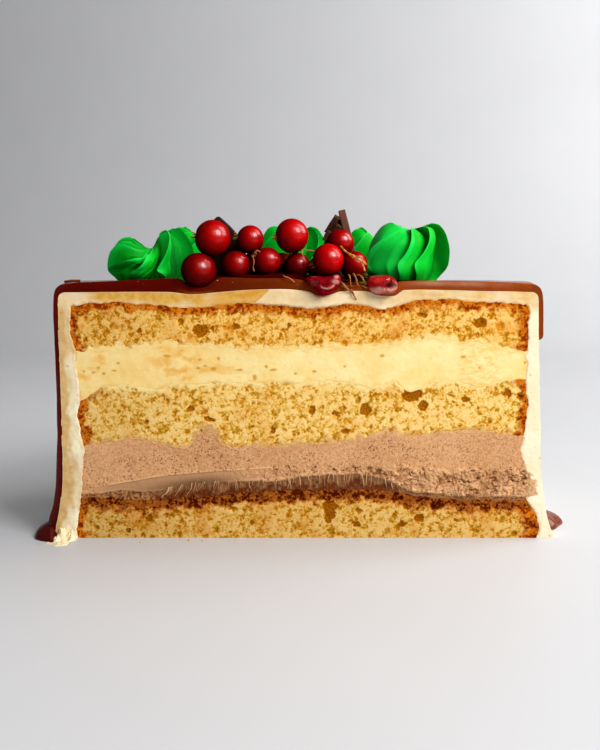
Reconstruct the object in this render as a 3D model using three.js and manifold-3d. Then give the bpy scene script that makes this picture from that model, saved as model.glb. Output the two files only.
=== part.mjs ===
// Half of a round layer cake, cut straight through the middle: three vanilla sponges with a ganache and
// chocolate mousse filling and a vanilla cream filling, an ivory frosting coat, a chocolate glaze that runs
// down the side in drips, and a wreath of piped green swirls with red currants and chocolate pieces.
// Millimetres, +Z up. The cut face looks along -Y; the origin is on the base, midway from cut face to back.

import * as THREE from 'three';
import { mergeVertices } from 'three/addons/utils/BufferGeometryUtils.js';
import Module from 'manifold-3d';

const radians = THREE.MathUtils.degToRad;

// Driving dimensions
const RADIUS = 73.8; // frosted side just under the rim
const FROSTING_TOP = 78.2; // height of the frosted top
const SIDE_SPREAD = 2.2; // how much the side widens from rim to base
const FOOT_FLARE = 3.7; // further flare of the frosting at its foot
const FOOT_HEIGHT = 22; // height over which the foot flares
const RIM_ROUND = 2.2; // rounding of the frosted rim
const RIM_TURNS = [0, 30, 60, 90]; // degrees round the rim at which its rounding is worked out
const LEAN = 2.2; // how far the foot has slumped towards +X
const GLAZE_TOP = 3.2; // glaze thickness on the top
const GLAZE_SIDE = 1.1; // glaze thickness on the side
const HEM = 70; // height of the glaze edge between drips
const GAP = 0.3; // clearance between pieces that touch
const REACH = 100; // half size of the blocks that trim the layers
const AROUND = 60; // sides of a full turn of the round body
const SLICE = 3.2; // step between stations along the cut

const CUT_Y = -RADIUS / 2; // place of the cut face in the part's frame
const TOP = FROSTING_TOP + GAP + GLAZE_TOP; // top of the glaze
const SEAT = TOP + GAP; // where the toppings stand

// Lines on the cut face, as [x, z]: the underside and top of each filling, and the crown of the top sponge
const GANACHE_FLOOR = [
  [-84, 13.2], [-63, 13.4], [-47, 12.5], [-34, 13.4], [-18, 14.8], [-5, 15.5], [26, 15.5],
  [39, 13.5], [50, 12.7], [64, 12.4], [84, 12.2],
];
const MOUSSE_FLOOR = [
  [-84, 14.6], [-63, 14.6], [-56, 15.6], [-47, 15.1], [-37, 17.1], [-30, 18.1], [-4, 19],
  [1, 20.2], [10, 20.7], [19, 20.7], [27, 19.5], [34, 16.1], [39, 14.8], [50, 14], [64, 13.5], [84, 13.3],
];
const MOUSSE_TOP = [
  [-84, 29.6], [-67, 30.2], [-51, 32.6], [-42, 30.7], [-35, 29.3], [-32.5, 34], [-29.5, 37.9],
  [-26.5, 36.6], [-24.5, 31.5], [-20, 29.7], [7, 30.7], [22, 32.9], [30, 34.4], [37, 33.1],
  [52, 35.2], [68, 33.6], [84, 32],
];
const CREAM_FLOOR = [
  [-84, 40], [-68, 44], [-61, 48.8], [-54, 49.5], [-46, 48.5], [-37, 49.6], [13, 50.4], [21, 48.8],
  [30, 50], [35.5, 47], [41, 50.4], [50, 50.7], [57, 49.1], [65, 51], [84, 51],
];
const CREAM_TOP = [
  [-84, 58.6], [-66, 60.1], [-37, 62.1], [-12, 59.7], [-7, 61], [1, 60.7], [24, 61.6], [41, 64.1],
  [52, 62.2], [56, 62.8], [66, 60.1], [84, 60.1],
];
const CROWN = [
  [-84, 73.4], [-69, 74.3], [-55, 74.9], [-32, 73.3], [-18, 74.6], [4, 73.3], [16, 74.3], [27, 73.3],
  [37, 75.7], [50, 75.6], [66, 74.6], [84, 72.6],
];

// Radius of the layers inside the frosting, as [z, radius]
const CORE = [
  [-2, 74.4], [3, 73.8], [8, 72.2], [15, 70.2], [30, 69], [39, 70.4], [50, 69.8], [67, 70.8], [84, 70],
];

// Bubbles in the crumb that open on the cut: [x, z, half width, half height]
const BUBBLES = {
  sponge_bottom: [[10, 8.6, 2.4, 4], [38, 6.4, 1.7, 1.7], [-47, 6, 1.4, 1.4]],
  sponge_middle: [[35.6, 45, 2.4, 1.6], [39.2, 42.6, 1.7, 1.8], [21, 41.6, 2.1, 1.9], [15, 35.6, 2, 1.4]],
  sponge_top: [[-30.2, 66.2, 2.7, 1.7], [55.9, 68.7, 2.3, 1.6], [38, 71, 1.4, 1]],
};
const BUBBLE_DEPTH = 2.2;
// The torn face of the mousse: its grid, the heights between which it lies, where the tear starts in x and fades
// in z, and its mean depth
const CRAGS = { columns: 46, rows: 8, low: 10, high: 42, across: [-10, 14], up: [20, 27], depth: 0.55 };

// Currants: [x, distance behind the cut, z, radius]
const CURRANTS = [
  [-26.8, 6.9, 94.7, 5.7], [-30.8, 2.5, 84.8, 5.4], [-15.3, 10.2, 94.6, 4.4], [-19.8, 7, 86.4, 4.5],
  [-9.8, 7, 87.7, 4.4], [-2, 7.6, 95.6, 5.3], [-0.4, 9.6, 86.4, 4.1], [9.2, 2, 88.1, 4.8],
  [13.3, 11.5, 93.5, 4.4], [17.6, 8, 86.5, 4.4], [-14.5, 16, 86.5, 4.4], [-5.4, 16.6, 86.4, 4.3],
  [6.4, 13.8, 85.7, 3.6],
];
// Currants that the knife pressed into the glaze: centre, then half sizes along x, y and z; and the depth of the
// folds in their skin, as a share of the half sizes
const FOLD = 0.16;
const CRUSHED = [
  { at: [7.6, -0.4, 79.6], half: [5.6, 3.6, 3.2] },
  { at: [25.8, 0, 80.2], half: [4.8, 3.6, 3.1] },
];
// Piped swirls: x, distance behind the cut, radius and height; then, as shares of the height, how much lower
// the front and back lobes are, how much higher the lobe at +X is, and the height of the pinch in the middle;
// last, how far the top leans to +X, and the turn of a ridge from the middle to the base in degrees
const SWIRLS = [
  {
    x: -48.6, y: 18.5, radius: 14, height: 15.4,
    front: 0.5, back: 0.4, rise: 0.12, pinch: 0.66, lean: 0, twist: 62,
  },
  {
    x: -35.5, y: 42.5, radius: 12.5, height: 19.4,
    front: 0.15, back: 0.15, rise: 0, pinch: 0.8, lean: 0, twist: 62,
  },
  {
    x: -2, y: 47, radius: 12.5, height: 18.8,
    front: 0.15, back: 0.15, rise: 0, pinch: 0.8, lean: 0, twist: 62,
  },
  {
    x: 27.5, y: 46, radius: 10.5, height: 18.6,
    front: 0.2, back: 0.15, rise: -0.04, pinch: 0.78, lean: 0, twist: 62,
  },
  {
    x: 35, y: 18, radius: 13.6, height: 19,
    front: 0.16, back: 0.14, rise: 0, pinch: 0.86, lean: 2, twist: 35,
  },
];
// Section of a swirl going up its side, as [share of radius, share of height]
const SWIRL_SECTION = [[0.8, 0], [0.98, 0.2], [1, 0.42], [0.92, 0.7], [0.72, 0.94], [0.48, 1], [0.22, 1]];
const CREST = 0.48; // share of the radius inside which a swirl dips to its pinch
const FINS = 8; // ridges that the star nozzle leaves
const FIN_DEPTH = 0.28; // groove depth, as a share of the radius
const FIN_STEPS = 4; // points across one ridge
const FIN_SINK = 0.12; // how far the grooves sink on the lobes, as a share of the height
const LOBE_START = 4; // the point of the section from which the grooves sink

// Chocolate runs that can be seen, as [degrees round from +X, half width in degrees, height of the tip]
const LONG_TIP = 4.4; // height at which a long drip meets its puddle
const SEEN_DRIPS = [[0, 3.6, 63.5], [11, 3.4, LONG_TIP], [178, 4.4, LONG_TIP]];
const HIDDEN_DRIPS = 8;
const HIDDEN_SPACING = [28, 17.6, 7]; // degrees: the first hidden drip, the step to the next, the unevenness
const HIDDEN_TIPS = [24, 36]; // lowest tip of a short hidden drip, and the range above it
const HIDDEN_HALF = [2.8, 1.4]; // least half width of a hidden drip in degrees, and the range above it
const LONG_DRIPS = [2, 5]; // of the hidden ones, those that reach the foot
const HEM_WAVE = [1.2, 9]; // height of the waves in the glaze edge, and their number in a full turn
const DRIP_BEAD = [[0.5, 1.1], [0.93, 1.4], [1, 0.6]]; // down a drip: [share of its length, share of thickness]
const GLAZE_FLAT = 62; // radius inside which the glaze on the top is flat
const DRIP_STATIONS = [-1.35, -1, -0.6, 0, 0.6, 1, 1.35]; // across a drip, in half widths
const MM_PER_DEGREE = radians(RADIUS);
// Puddles at the foot of the long drips: the drip's number, reach outwards, half width and height
const PUDDLES = [
  { name: 'glaze_puddle_right', drip: 1, reach: 8.6, half: 8, height: 4.2 },
  { name: 'glaze_puddle_left', drip: 2, reach: 6.4, half: 6.6, height: 4.6 },
  { name: 'glaze_puddle_back_1', drip: 5, reach: 6.5, half: 8.5, height: 4.2 },
  { name: 'glaze_puddle_back_2', drip: 8, reach: 7.5, half: 7, height: 4.2 },
];

// The stalk, from the currant down: [x, distance behind the cut, z]
const STALK = [[13.2, 5.6, 92.2], [14.6, 3.2, 90.6], [16.8, 1.7, 89.1], [19, 1.6, 87.8], [21.1, 1.4, 86.5]];
const STALK_RADIUS = 0.55;

// The ribbed chocolate piece, as [x, z] points and as [front, back] distances behind the cut
const SHARD_TOP = [14.2, 104.6];
const SHARD_FOOT = [20, 83.2];
const SHARD_BAR = { width: 2.2, depth: [18.6, 21.8] };
const SHARD_PLATE = { outline: [[13.4, 103.6], [20, SEAT], [5, SEAT], [9.4, 97]], depth: [20.4, 22] };
const SLATS = { count: 4, first: [13.6, 102.2], step: [0.9, -3.5], run: [-2.6, -5.2] };
const SLAT_BAR = { width: 1.9, depth: [18.8, 21.4] };
// The thin chocolate piece: its depths behind the cut
const CURL_DEPTH = [15.7, 17];

const wasm = await Module();
wasm.setup();

// A number from 0 to 1 that is fixed for each whole number
function chance(n) {
  const x = Math.sin(n * 12.9898) * 43758.5453;
  return x - Math.floor(x);
}

// A smooth line through points: cubic pieces whose slope at a point is that from its neighbour to its neighbour
function curve(points) {
  const last = points.length - 1;
  const slope = points.map((p, i) => {
    const a = points[Math.max(0, i - 1)];
    const b = points[Math.min(last, i + 1)];
    return (b[1] - a[1]) / (b[0] - a[0]);
  });
  return (x) => {
    let i = 0;
    while (i < last - 1 && x > points[i + 1][0]) i += 1;
    const width = points[i + 1][0] - points[i][0];
    const t = THREE.MathUtils.clamp((x - points[i][0]) / width, 0, 1);
    const bend = (slope[i] * (1 - t) - slope[i + 1] * t) * width + (points[i + 1][1] - points[i][1]) * (2 * t - 1);
    return points[i][1] * (1 - t) + points[i + 1][1] * t + t * (1 - t) * bend;
  };
}

const coreRadius = curve(CORE);

// Sideways slump of the whole cake at a height
const slump = (z) => LEAN * Math.max(0, 1 - z / FROSTING_TOP) ** 1.5;

// Radius of the frosted side at a height
function sideRadius(z) {
  const spread = SIDE_SPREAD * (1 - z / FROSTING_TOP);
  return RADIUS + spread + FOOT_FLARE * Math.max(0, 1 - z / FOOT_HEIGHT) ** 2;
}

// Closed geometry to a solid that can be cut, and back
function solid(geometry) {
  const plain = geometry.clone();
  plain.deleteAttribute('normal');
  plain.deleteAttribute('uv');
  const merged = mergeVertices(plain, 1e-4);
  const vertProperties = new Float32Array(merged.attributes.position.array);
  const triVerts = new Uint32Array(merged.index.array);
  return new wasm.Manifold(new wasm.Mesh({ numProp: 3, vertProperties, triVerts }));
}

function geometryOf(shape) {
  const mesh = shape.getMesh();
  const geometry = new THREE.BufferGeometry();
  geometry.setAttribute('position', new THREE.BufferAttribute(new Float32Array(mesh.vertProperties), 3));
  geometry.setIndex(new THREE.BufferAttribute(new Uint32Array(mesh.triVerts), 1));
  geometry.computeVertexNormals();
  return geometry;
}

// Moves each point of a geometry by a function of its place
function shaped(geometry, move) {
  const place = geometry.attributes.position;
  const point = new THREE.Vector3();
  for (let i = 0; i < place.count; i += 1) {
    point.fromBufferAttribute(place, i);
    move(point);
    place.setXYZ(i, point.x, point.y, point.z);
  }
  return geometry;
}

// A round body turned from a profile of [radius, height] points, slumped like the whole cake.
// Its sides are turned by half a step, so that the cut falls between two of their edges.
function turned(profile) {
  const points = profile.map(([r, z]) => new THREE.Vector2(r, z));
  const body = new THREE.LatheGeometry(points, AROUND);
  body.rotateX(Math.PI / 2);
  body.rotateZ(Math.PI / AROUND);
  return solid(shaped(body, (p) => p.setX(p.x + slump(p.z))));
}

// A block behind the cut plane between two lines on the cut
function slab(floor, roof) {
  const outline = new THREE.Shape();
  const stations = Math.round((2 * REACH) / SLICE);
  const xs = Array.from({ length: stations + 1 }, (_, i) => -REACH + (2 * REACH * i) / stations);
  xs.forEach((x, i) => (i ? outline.lineTo(x, floor(x)) : outline.moveTo(x, floor(x))));
  xs.reverse().forEach((x) => outline.lineTo(x, roof(x)));
  const block = new THREE.ExtrudeGeometry(outline, { depth: REACH, bevelEnabled: false });
  block.rotateX(Math.PI / 2);
  block.translate(0, REACH, 0);
  return solid(block);
}

// The round space inside the frosting, grown outwards by a clearance
function core(grow) {
  const heights = CORE.map(([z]) => z);
  const side = heights.map((z) => [coreRadius(z) + grow, z]);
  return turned([[0, heights[0]], ...side, [0, heights.at(-1)]]);
}

// One bubble, as a flattened ball that opens on the cut
function bubble([x, z, half, rise]) {
  const ball = new THREE.SphereGeometry(1, 9, 6);
  ball.scale(half, BUBBLE_DEPTH, rise);
  ball.translate(x, 0, z);
  return solid(ball);
}

// A layer that runs through the cake between two lines on the cut
function layer(name, floorLine, roofLine) {
  const floor = (x) => floorLine(x) + GAP / 2;
  const roof = (x) => roofLine(x) - GAP / 2;
  const shape = slab(floor, roof).intersect(core(0));
  return (BUBBLES[name] ?? []).reduce((rest, hole) => rest.subtract(bubble(hole)), shape);
}

// The torn, craggy face of the mousse: a block whose front is pushed in, most in the lower right
function crags() {
  const { columns, rows, low, high, across, up, depth } = CRAGS;
  const face = new THREE.BoxGeometry(2 * REACH, REACH, high - low, columns, 1, rows);
  face.translate(0, REACH / 2, (low + high) / 2);
  return solid(shaped(face, (p) => {
    if (p.y > REACH / 2) return;
    const torn = THREE.MathUtils.smoothstep(p.x, ...across) * (1 - THREE.MathUtils.smoothstep(p.z, ...up));
    const wave = Math.sin(p.x * 0.9 + p.z * 1.7) + Math.sin(p.x * 2.3 - p.z * 0.8);
    p.setY(GAP / 6 + torn * depth * (1 + wave / 2));
  }));
}

// The frosted outside as [radius, height]: up the side, round the rim and along the top, moved outwards
function coatProfile(grow) {
  const middle = [sideRadius(FROSTING_TOP) - RIM_ROUND, FROSTING_TOP - RIM_ROUND];
  const side = [0, 3, 7, 12, FOOT_HEIGHT, 50].map((z) => [sideRadius(z) + grow, z]);
  const rim = RIM_TURNS.map((turn) => [
    middle[0] + (RIM_ROUND + grow) * Math.cos(radians(turn)),
    middle[1] + (RIM_ROUND + grow) * Math.sin(radians(turn)),
  ]);
  return [...side, ...rim, [0, FROSTING_TOP + grow]];
}

// Frosting: the coat less the layers inside it and the currants pressed into it
function frosting() {
  const behind = slab(() => -1, () => REACH);
  const crown = curve(CROWN);
  const inside = slab(() => -REACH, (x) => crown(x) + GAP / 2).intersect(core(GAP));
  const coat = turned([[0, 0], ...coatProfile(0)]).intersect(behind).subtract(inside);
  return CRUSHED.reduce((rest, berry) => rest.subtract(crushed(berry, GAP)), coat);
}

// All the chocolate runs: those that are seen, and the ones round the back with uneven lengths
const DRIPS = [...SEEN_DRIPS];
for (let i = 0; i < HIDDEN_DRIPS; i += 1) {
  const turn = HIDDEN_SPACING[0] + HIDDEN_SPACING[1] * i + HIDDEN_SPACING[2] * (chance(i + 1) - 0.5);
  const tip = LONG_DRIPS.includes(i) ? LONG_TIP : HIDDEN_TIPS[0] + HIDDEN_TIPS[1] * chance(i + 31);
  DRIPS.push([turn, HIDDEN_HALF[0] + HIDDEN_HALF[1] * chance(i + 61), tip]);
}

// Height of the lower edge of the glaze at an angle in degrees: fingers with a round tip below a wavy edge
function hemHeight(turn) {
  const edge = HEM + HEM_WAVE[0] * Math.sin(radians(turn * HEM_WAVE[1]));
  const tips = DRIPS.filter(([at, half]) => Math.abs(turn - at) <= half * 1.001).map(([at, half, tip]) => {
    const across = Math.min(1, Math.abs(turn - at) / half);
    return tip + half * MM_PER_DEGREE * (1 - Math.sqrt(1 - across ** 2));
  });
  return Math.min(edge, ...tips);
}

// Angles at which the glaze is worked out: across every drip, and evenly in between
function glazeStations() {
  const across = DRIPS.flatMap(([at, half]) => DRIP_STATIONS.map((share) => at + share * half));
  const inside = across.filter((turn) => turn > 0.4 && turn < 179.6);
  const sorted = [0, ...inside.sort((a, b) => a - b), 180];
  return sorted.flatMap((turn, i) => {
    const before = sorted[Math.max(0, i - 1)];
    return turn - before > 6 ? [(turn + before) / 2, turn] : [turn];
  });
}

// One section of the glaze at an angle, as [radius, height] from the middle of the top out and down to the hem
function glazeSection(turn, outer) {
  const inner = GAP + 0.05;
  const hem = hemHeight(turn);
  const middle = [sideRadius(FROSTING_TOP) - RIM_ROUND, FROSTING_TOP - RIM_ROUND];
  const top = FROSTING_TOP + (outer ? GAP + GLAZE_TOP : inner);
  const points = [[0, top], [GLAZE_FLAT, top]];
  for (const a of RIM_TURNS.toReversed().map(radians)) {
    const thick = RIM_ROUND + (outer ? GAP + GLAZE_SIDE + (GLAZE_TOP - GLAZE_SIDE) * Math.sin(a) ** 3 : inner);
    points.push([middle[0] + thick * Math.cos(a), middle[1] + thick * Math.sin(a)]);
  }
  for (const [share, bead] of DRIP_BEAD) {
    const z = middle[1] + (hem - middle[1]) * share;
    points.push([sideRadius(z) + (outer ? GAP + GLAZE_SIDE * bead : inner), z]);
  }
  return points;
}

// Glaze: a skin over the top, the rim and the drips, with an outer and an inner face over one grid
function glaze() {
  const stations = glazeStations();
  const per = glazeSection(0, true).length;
  const last = stations.length - 1;
  const place = [];
  const faces = [];
  for (const turn of stations) {
    for (const [r, z] of [...glazeSection(turn, true), ...glazeSection(turn, false)]) {
      place.push(r * Math.cos(radians(turn)) + slump(z), r * Math.sin(radians(turn)), z);
    }
  }
  const outer = (i, k) => i * 2 * per + k;
  const inner = (i, k) => outer(i, k) + per;
  const quad = (a, b, c, d) => faces.push(a, b, c, a, c, d);
  for (let i = 0; i < last; i += 1) {
    for (let k = 0; k < per - 1; k += 1) {
      quad(outer(i, k), outer(i, k + 1), outer(i + 1, k + 1), outer(i + 1, k));
      quad(inner(i, k), inner(i + 1, k), inner(i + 1, k + 1), inner(i, k + 1));
    }
    quad(outer(i, per - 1), inner(i, per - 1), inner(i + 1, per - 1), outer(i + 1, per - 1));
  }
  for (let k = 0; k < per - 1; k += 1) {
    quad(outer(0, k), inner(0, k), inner(0, k + 1), outer(0, k + 1));
    quad(outer(last, k), outer(last, k + 1), inner(last, k + 1), inner(last, k));
  }
  const sheet = new THREE.BufferGeometry();
  sheet.setAttribute('position', new THREE.Float32BufferAttribute(place, 3));
  sheet.setIndex(faces);
  const pressed = CRUSHED.reduce((rest, berry) => rest.subtract(crushed(berry, GAP)), solid(sheet));
  const sunk = CURRANTS.filter(([, , z, r]) => z - r < SEAT);
  return sunk.reduce((rest, berry) => rest.subtract(currant(berry, GAP)), pressed);
}

// Puddle of glaze on the foot: a low dome, flat underneath, cut back from the frosting
function puddle({ drip, reach, half, height }) {
  const foot = sideRadius(0);
  const dome = new THREE.SphereGeometry(1, 16, 10);
  dome.rotateX(Math.PI / 2);
  dome.scale(reach, half, height);
  dome.translate(foot, 0, 0);
  dome.rotateZ(radians(DRIPS[drip][0]));
  dome.translate(slump(0), 0, 0);
  const floor = slab(() => 0, () => LONG_TIP - GAP).translate(0, -REACH / 10, 0);
  const coat = turned([[0, -REACH], [foot + GAP, -REACH], ...coatProfile(GAP)]);
  return solid(dome).intersect(floor).subtract(coat);
}

// One currant
function currant([x, y, z, radius], grow = 0) {
  const ball = new THREE.SphereGeometry(radius + grow, 11, 7);
  ball.rotateX(Math.PI / 2);
  ball.translate(x, y, z);
  return solid(ball);
}

// One crushed currant, a ball squashed flat with a collapsed front
function crushed({ at, half }, grow = 0) {
  const ball = new THREE.SphereGeometry(1, 12, 8);
  shaped(ball, (p) => {
    const fold = 1 - FOLD * Math.max(0, -p.y) * (1 + Math.sin(5 * p.x));
    p.set(p.x * (half[0] * fold + grow), p.y * (half[1] * fold + grow), p.z * (half[2] * fold + grow));
  });
  ball.translate(...at);
  return solid(ball);
}

// A piped swirl: lobes round a pinch, with sharp ridges that twist from the pinch down to the base
function swirl({ x, y, radius, height, front, back, rise, pinch, lean, twist }) {
  const count = FINS * FIN_STEPS;
  const rings = SWIRL_SECTION.length;
  const place = [0, 0, 0];
  const faces = [];
  SWIRL_SECTION.forEach(([r, z], ring) => {
    const up = ring / (rings - 1);
    for (let i = 0; i < count; i += 1) {
      const angle = (2 * Math.PI * i) / count;
      const groove = Math.abs(Math.sin((FINS * angle) / 2));
      const turn = angle - radians(twist) * (1 - up);
      const loss = (Math.sin(turn) < 0 ? front : back) * Math.sin(turn) ** 2;
      const lobe = 1 - loss + rise * Math.cos(turn);
      const share = r < CREST ? pinch + (lobe - pinch) * (r / CREST) ** 1.5 : z * lobe;
      const out = radius * r * (1 - FIN_DEPTH * groove * (0.5 + 0.5 * Math.min(1, 3 * up)));
      const sunk = ring < LOBE_START ? 0 : FIN_SINK * groove;
      place.push(out * Math.cos(turn) + lean * z, out * Math.sin(turn), height * (share - sunk * r));
    }
  });
  const peak = place.length / 3;
  place.push(lean, 0, height * pinch);
  const at = (ring, i) => 1 + ring * count + (i % count);
  for (let i = 0; i < count; i += 1) {
    faces.push(0, at(0, i + 1), at(0, i));
    for (let ring = 0; ring < rings - 1; ring += 1) {
      faces.push(at(ring, i), at(ring, i + 1), at(ring + 1, i + 1));
      faces.push(at(ring, i), at(ring + 1, i + 1), at(ring + 1, i));
    }
    faces.push(at(rings - 1, i), at(rings - 1, i + 1), peak);
  }
  const geometry = new THREE.BufferGeometry();
  geometry.setAttribute('position', new THREE.Float32BufferAttribute(place, 3));
  geometry.setIndex(faces);
  geometry.translate(x, y, SEAT);
  return solid(geometry);
}

// The stalk that the front currants hang on
function stalk() {
  const route = new THREE.CatmullRomCurve3(STALK.map((point) => new THREE.Vector3(...point)));
  const section = new THREE.Shape().absarc(0, 0, STALK_RADIUS, 0, 2 * Math.PI);
  return new THREE.ExtrudeGeometry(section, { extrudePath: route, steps: 10, curveSegments: 3 });
}

// A straight bar in the x-z plane from one point to another
function bar(from, to, { width, depth: [front, back] }) {
  const along = new THREE.Vector2(to[0] - from[0], to[1] - from[1]);
  const box = new THREE.BoxGeometry(along.length(), back - front, width);
  box.rotateY(-along.angle());
  box.translate((from[0] + to[0]) / 2, (front + back) / 2, (from[1] + to[1]) / 2);
  return solid(box);
}

// A flat plate with an outline in the x-z plane
function plate(outline, [front, back], curveSegments) {
  const sheet = new THREE.ExtrudeGeometry(outline, { depth: back - front, bevelEnabled: false, curveSegments });
  sheet.rotateX(Math.PI / 2);
  sheet.translate(0, back, 0);
  return solid(sheet);
}

// A ribbed chocolate piece: one long bar and a plate with short slats that run down from the bar, all fused
function chocolateShard() {
  const outline = new THREE.Shape(SHARD_PLATE.outline.map((point) => new THREE.Vector2(...point)));
  let shape = bar(SHARD_TOP, SHARD_FOOT, SHARD_BAR).add(plate(outline, SHARD_PLATE.depth, 1));
  for (let i = 0; i < SLATS.count; i += 1) {
    const start = [SLATS.first[0] + SLATS.step[0] * i, SLATS.first[1] + SLATS.step[1] * i];
    const end = [start[0] + SLATS.run[0], start[1] + SLATS.run[1]];
    shape = shape.add(bar(start, end, SLAT_BAR));
  }
  return shape;
}

// A thin chocolate piece with a rounded top, leaning behind the currants
function chocolateCurl() {
  const edge = new THREE.Shape();
  edge.moveTo(-31, SEAT);
  edge.lineTo(-30, 96);
  edge.quadraticCurveTo(-28.5, 100.6, -25.6, 102.2);
  edge.quadraticCurveTo(-20.6, 99, -19.6, 93);
  edge.lineTo(-19, SEAT);
  return plate(edge, CURL_DEPTH, 5);
}

const FINISH = {
  sponge: { color: '#dcae5c', roughness: 0.95 },
  ganache: { color: '#5a2f1a', roughness: 0.3 },
  mousse: { color: '#c08a62', roughness: 0.8 },
  cream: { color: '#f6dfa0', roughness: 0.6 },
  frosting: { color: '#f7ead0', roughness: 0.55 },
  glaze: { color: '#4a1710', roughness: 0.15 },
  green: { color: '#08a32a', roughness: 0.45 },
  currant: { color: '#a20d12', roughness: 0.18 },
  stalk: { color: '#b8762a', roughness: 0.7 },
  chocolate: { color: '#4c3025', roughness: 0.45 },
};

const cake = new THREE.Group();
cake.position.set(0, CUT_Y, 0);

function put(name, finish, shape) {
  const geometry = shape.isBufferGeometry ? shape : geometryOf(shape);
  const mesh = new THREE.Mesh(geometry, new THREE.MeshStandardMaterial({ metalness: 0, ...FINISH[finish] }));
  mesh.name = name;
  cake.add(mesh);
}

const base = () => -GAP / 2;
put('sponge_bottom', 'sponge', layer('sponge_bottom', base, curve(GANACHE_FLOOR)));
put('ganache', 'ganache', layer('ganache', curve(GANACHE_FLOOR), curve(MOUSSE_FLOOR)));
put('mousse', 'mousse', layer('mousse', curve(MOUSSE_FLOOR), curve(MOUSSE_TOP)).intersect(crags()));
put('sponge_middle', 'sponge', layer('sponge_middle', curve(MOUSSE_TOP), curve(CREAM_FLOOR)));
put('vanilla_cream', 'cream', layer('vanilla_cream', curve(CREAM_FLOOR), curve(CREAM_TOP)));
put('sponge_top', 'sponge', layer('sponge_top', curve(CREAM_TOP), curve(CROWN)));
put('frosting', 'frosting', frosting());
put('glaze', 'glaze', glaze());
PUDDLES.forEach((pool) => put(pool.name, 'glaze', puddle(pool)));
SWIRLS.forEach((place, i) => put(`swirl_${i + 1}`, 'green', swirl(place)));
CURRANTS.forEach((berry, i) => put(`currant_${i + 1}`, 'currant', currant(berry)));
CRUSHED.forEach((berry, i) => put(`crushed_currant_${i + 1}`, 'currant', crushed(berry)));
put('currant_stalk', 'stalk', stalk());
put('chocolate_shard', 'chocolate', chocolateShard());
put('chocolate_curl', 'chocolate', chocolateCurl());

const part = new THREE.Group();
part.add(cake);

export default part;
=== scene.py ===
"""Half of a round layer cake with a cut face: sponge, ganache, mousse and cream inside an ivory frosting
coat, a chocolate glaze with drips, and green swirls, red currants and chocolate pieces on top.

Shapes are worked out in millimetres, with x to the right along the cut, y behind the cut and z up from the
base.
"""
import math

import bmesh
import bpy
import numpy as np
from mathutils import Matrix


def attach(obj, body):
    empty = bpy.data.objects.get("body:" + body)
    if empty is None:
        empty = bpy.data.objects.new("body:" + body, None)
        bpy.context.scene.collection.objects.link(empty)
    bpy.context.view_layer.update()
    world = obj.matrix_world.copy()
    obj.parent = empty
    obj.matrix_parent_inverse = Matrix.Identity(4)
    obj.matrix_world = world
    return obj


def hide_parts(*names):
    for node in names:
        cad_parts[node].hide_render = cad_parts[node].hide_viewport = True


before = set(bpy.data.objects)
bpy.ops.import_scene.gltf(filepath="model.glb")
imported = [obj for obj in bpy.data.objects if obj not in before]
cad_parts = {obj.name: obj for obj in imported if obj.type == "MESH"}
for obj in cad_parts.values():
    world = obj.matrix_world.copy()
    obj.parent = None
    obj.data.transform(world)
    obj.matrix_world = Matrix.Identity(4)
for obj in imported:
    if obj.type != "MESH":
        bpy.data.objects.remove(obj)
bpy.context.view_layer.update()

# Sizes in millimetres, the same as those of the solids
RADIUS = 73.8
FROSTING_TOP = 78.2
SIDE_SPREAD = 2.2
FOOT_FLARE = 3.7
FOOT_HEIGHT = 22.0
RIM_ROUND = 2.2
LEAN = 2.2
GLAZE_TOP = 3.2
GLAZE_SIDE = 1.1
HEM = 70.0
GAP = 0.3
CUT_Y = -RADIUS / 2
TOP = FROSTING_TOP + GAP + GLAZE_TOP
SEAT = TOP + GAP
# Where the round of the rim is struck from: its distance from the axis and its height
HUB = RADIUS - RIM_ROUND
HUB_Z = FROSTING_TOP - RIM_ROUND
# How far fillings lap behind their neighbours, the round inside the frosting, and the foot of the chocolates
LAP = 0.25
INNER_ROUND = 0.6
CHOCOLATE_FOOT = SEAT - 0.2
# The power that rounds the corners of a bar, rows of the glaze over the top, and the angle that stays sharp
BAR_CORNER = 0.2
GLAZE_ROWS = 34
SHARP_ANGLE = math.radians(70)
# Steps round the back of the frosting and of the glaze, few enough for 200,000 triangles a piece
FROSTING_TURNS = 78
GLAZE_TURNS = 430

# Scales, the steps in which points are joined, and the sine that fixed numbers are drawn from
MM_PER_M = 1000
M_PER_MM = 0.001
WELD_STEPS = 2000
KEY_BITS = 20
DRAW_TURNS = (12.9898, 78.233, 37.719)
DRAW_SCALE = 43758.5453
# Numbers of the colour sockets of a Mix node, and directions that no tip or path runs along
FIRST_COLOUR = 6
SECOND_COLOUR = 7
MIXED_COLOUR = 2
OFF_TIP = (0.31, 0.57, 0.76)
OFF_PATH = (0.13, 0.93, 0.34)

# Lines on the cut, as (x, z)
GANACHE_FLOOR = [(-84, 13.2), (-63, 13.4), (-47, 12.5), (-34, 13.4), (-18, 14.8), (-5, 15.5), (26, 15.5),
                 (39, 13.5), (50, 12.7), (64, 12.4), (84, 12.2)]
MOUSSE_FLOOR = [(-84, 14.6), (-63, 14.6), (-56, 15.6), (-47, 15.1), (-37, 17.1), (-30, 18.1), (-4, 19),
                (1, 20.2), (10, 20.7), (19, 20.7), (27, 19.5), (34, 16.1), (39, 14.8), (50, 14),
                (64, 13.5), (84, 13.3)]
MOUSSE_TOP = [(-84, 29.6), (-67, 30.2), (-51, 32.6), (-42, 30.7), (-35, 29.3), (-32.5, 32.2),
              (-29.5, 34.4), (-26.5, 33.6), (-24.5, 31), (-20, 29.7), (7, 30.7), (22, 32.9), (30, 34.4),
              (37, 33.1), (52, 35.2), (68, 33.6), (84, 32)]
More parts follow.
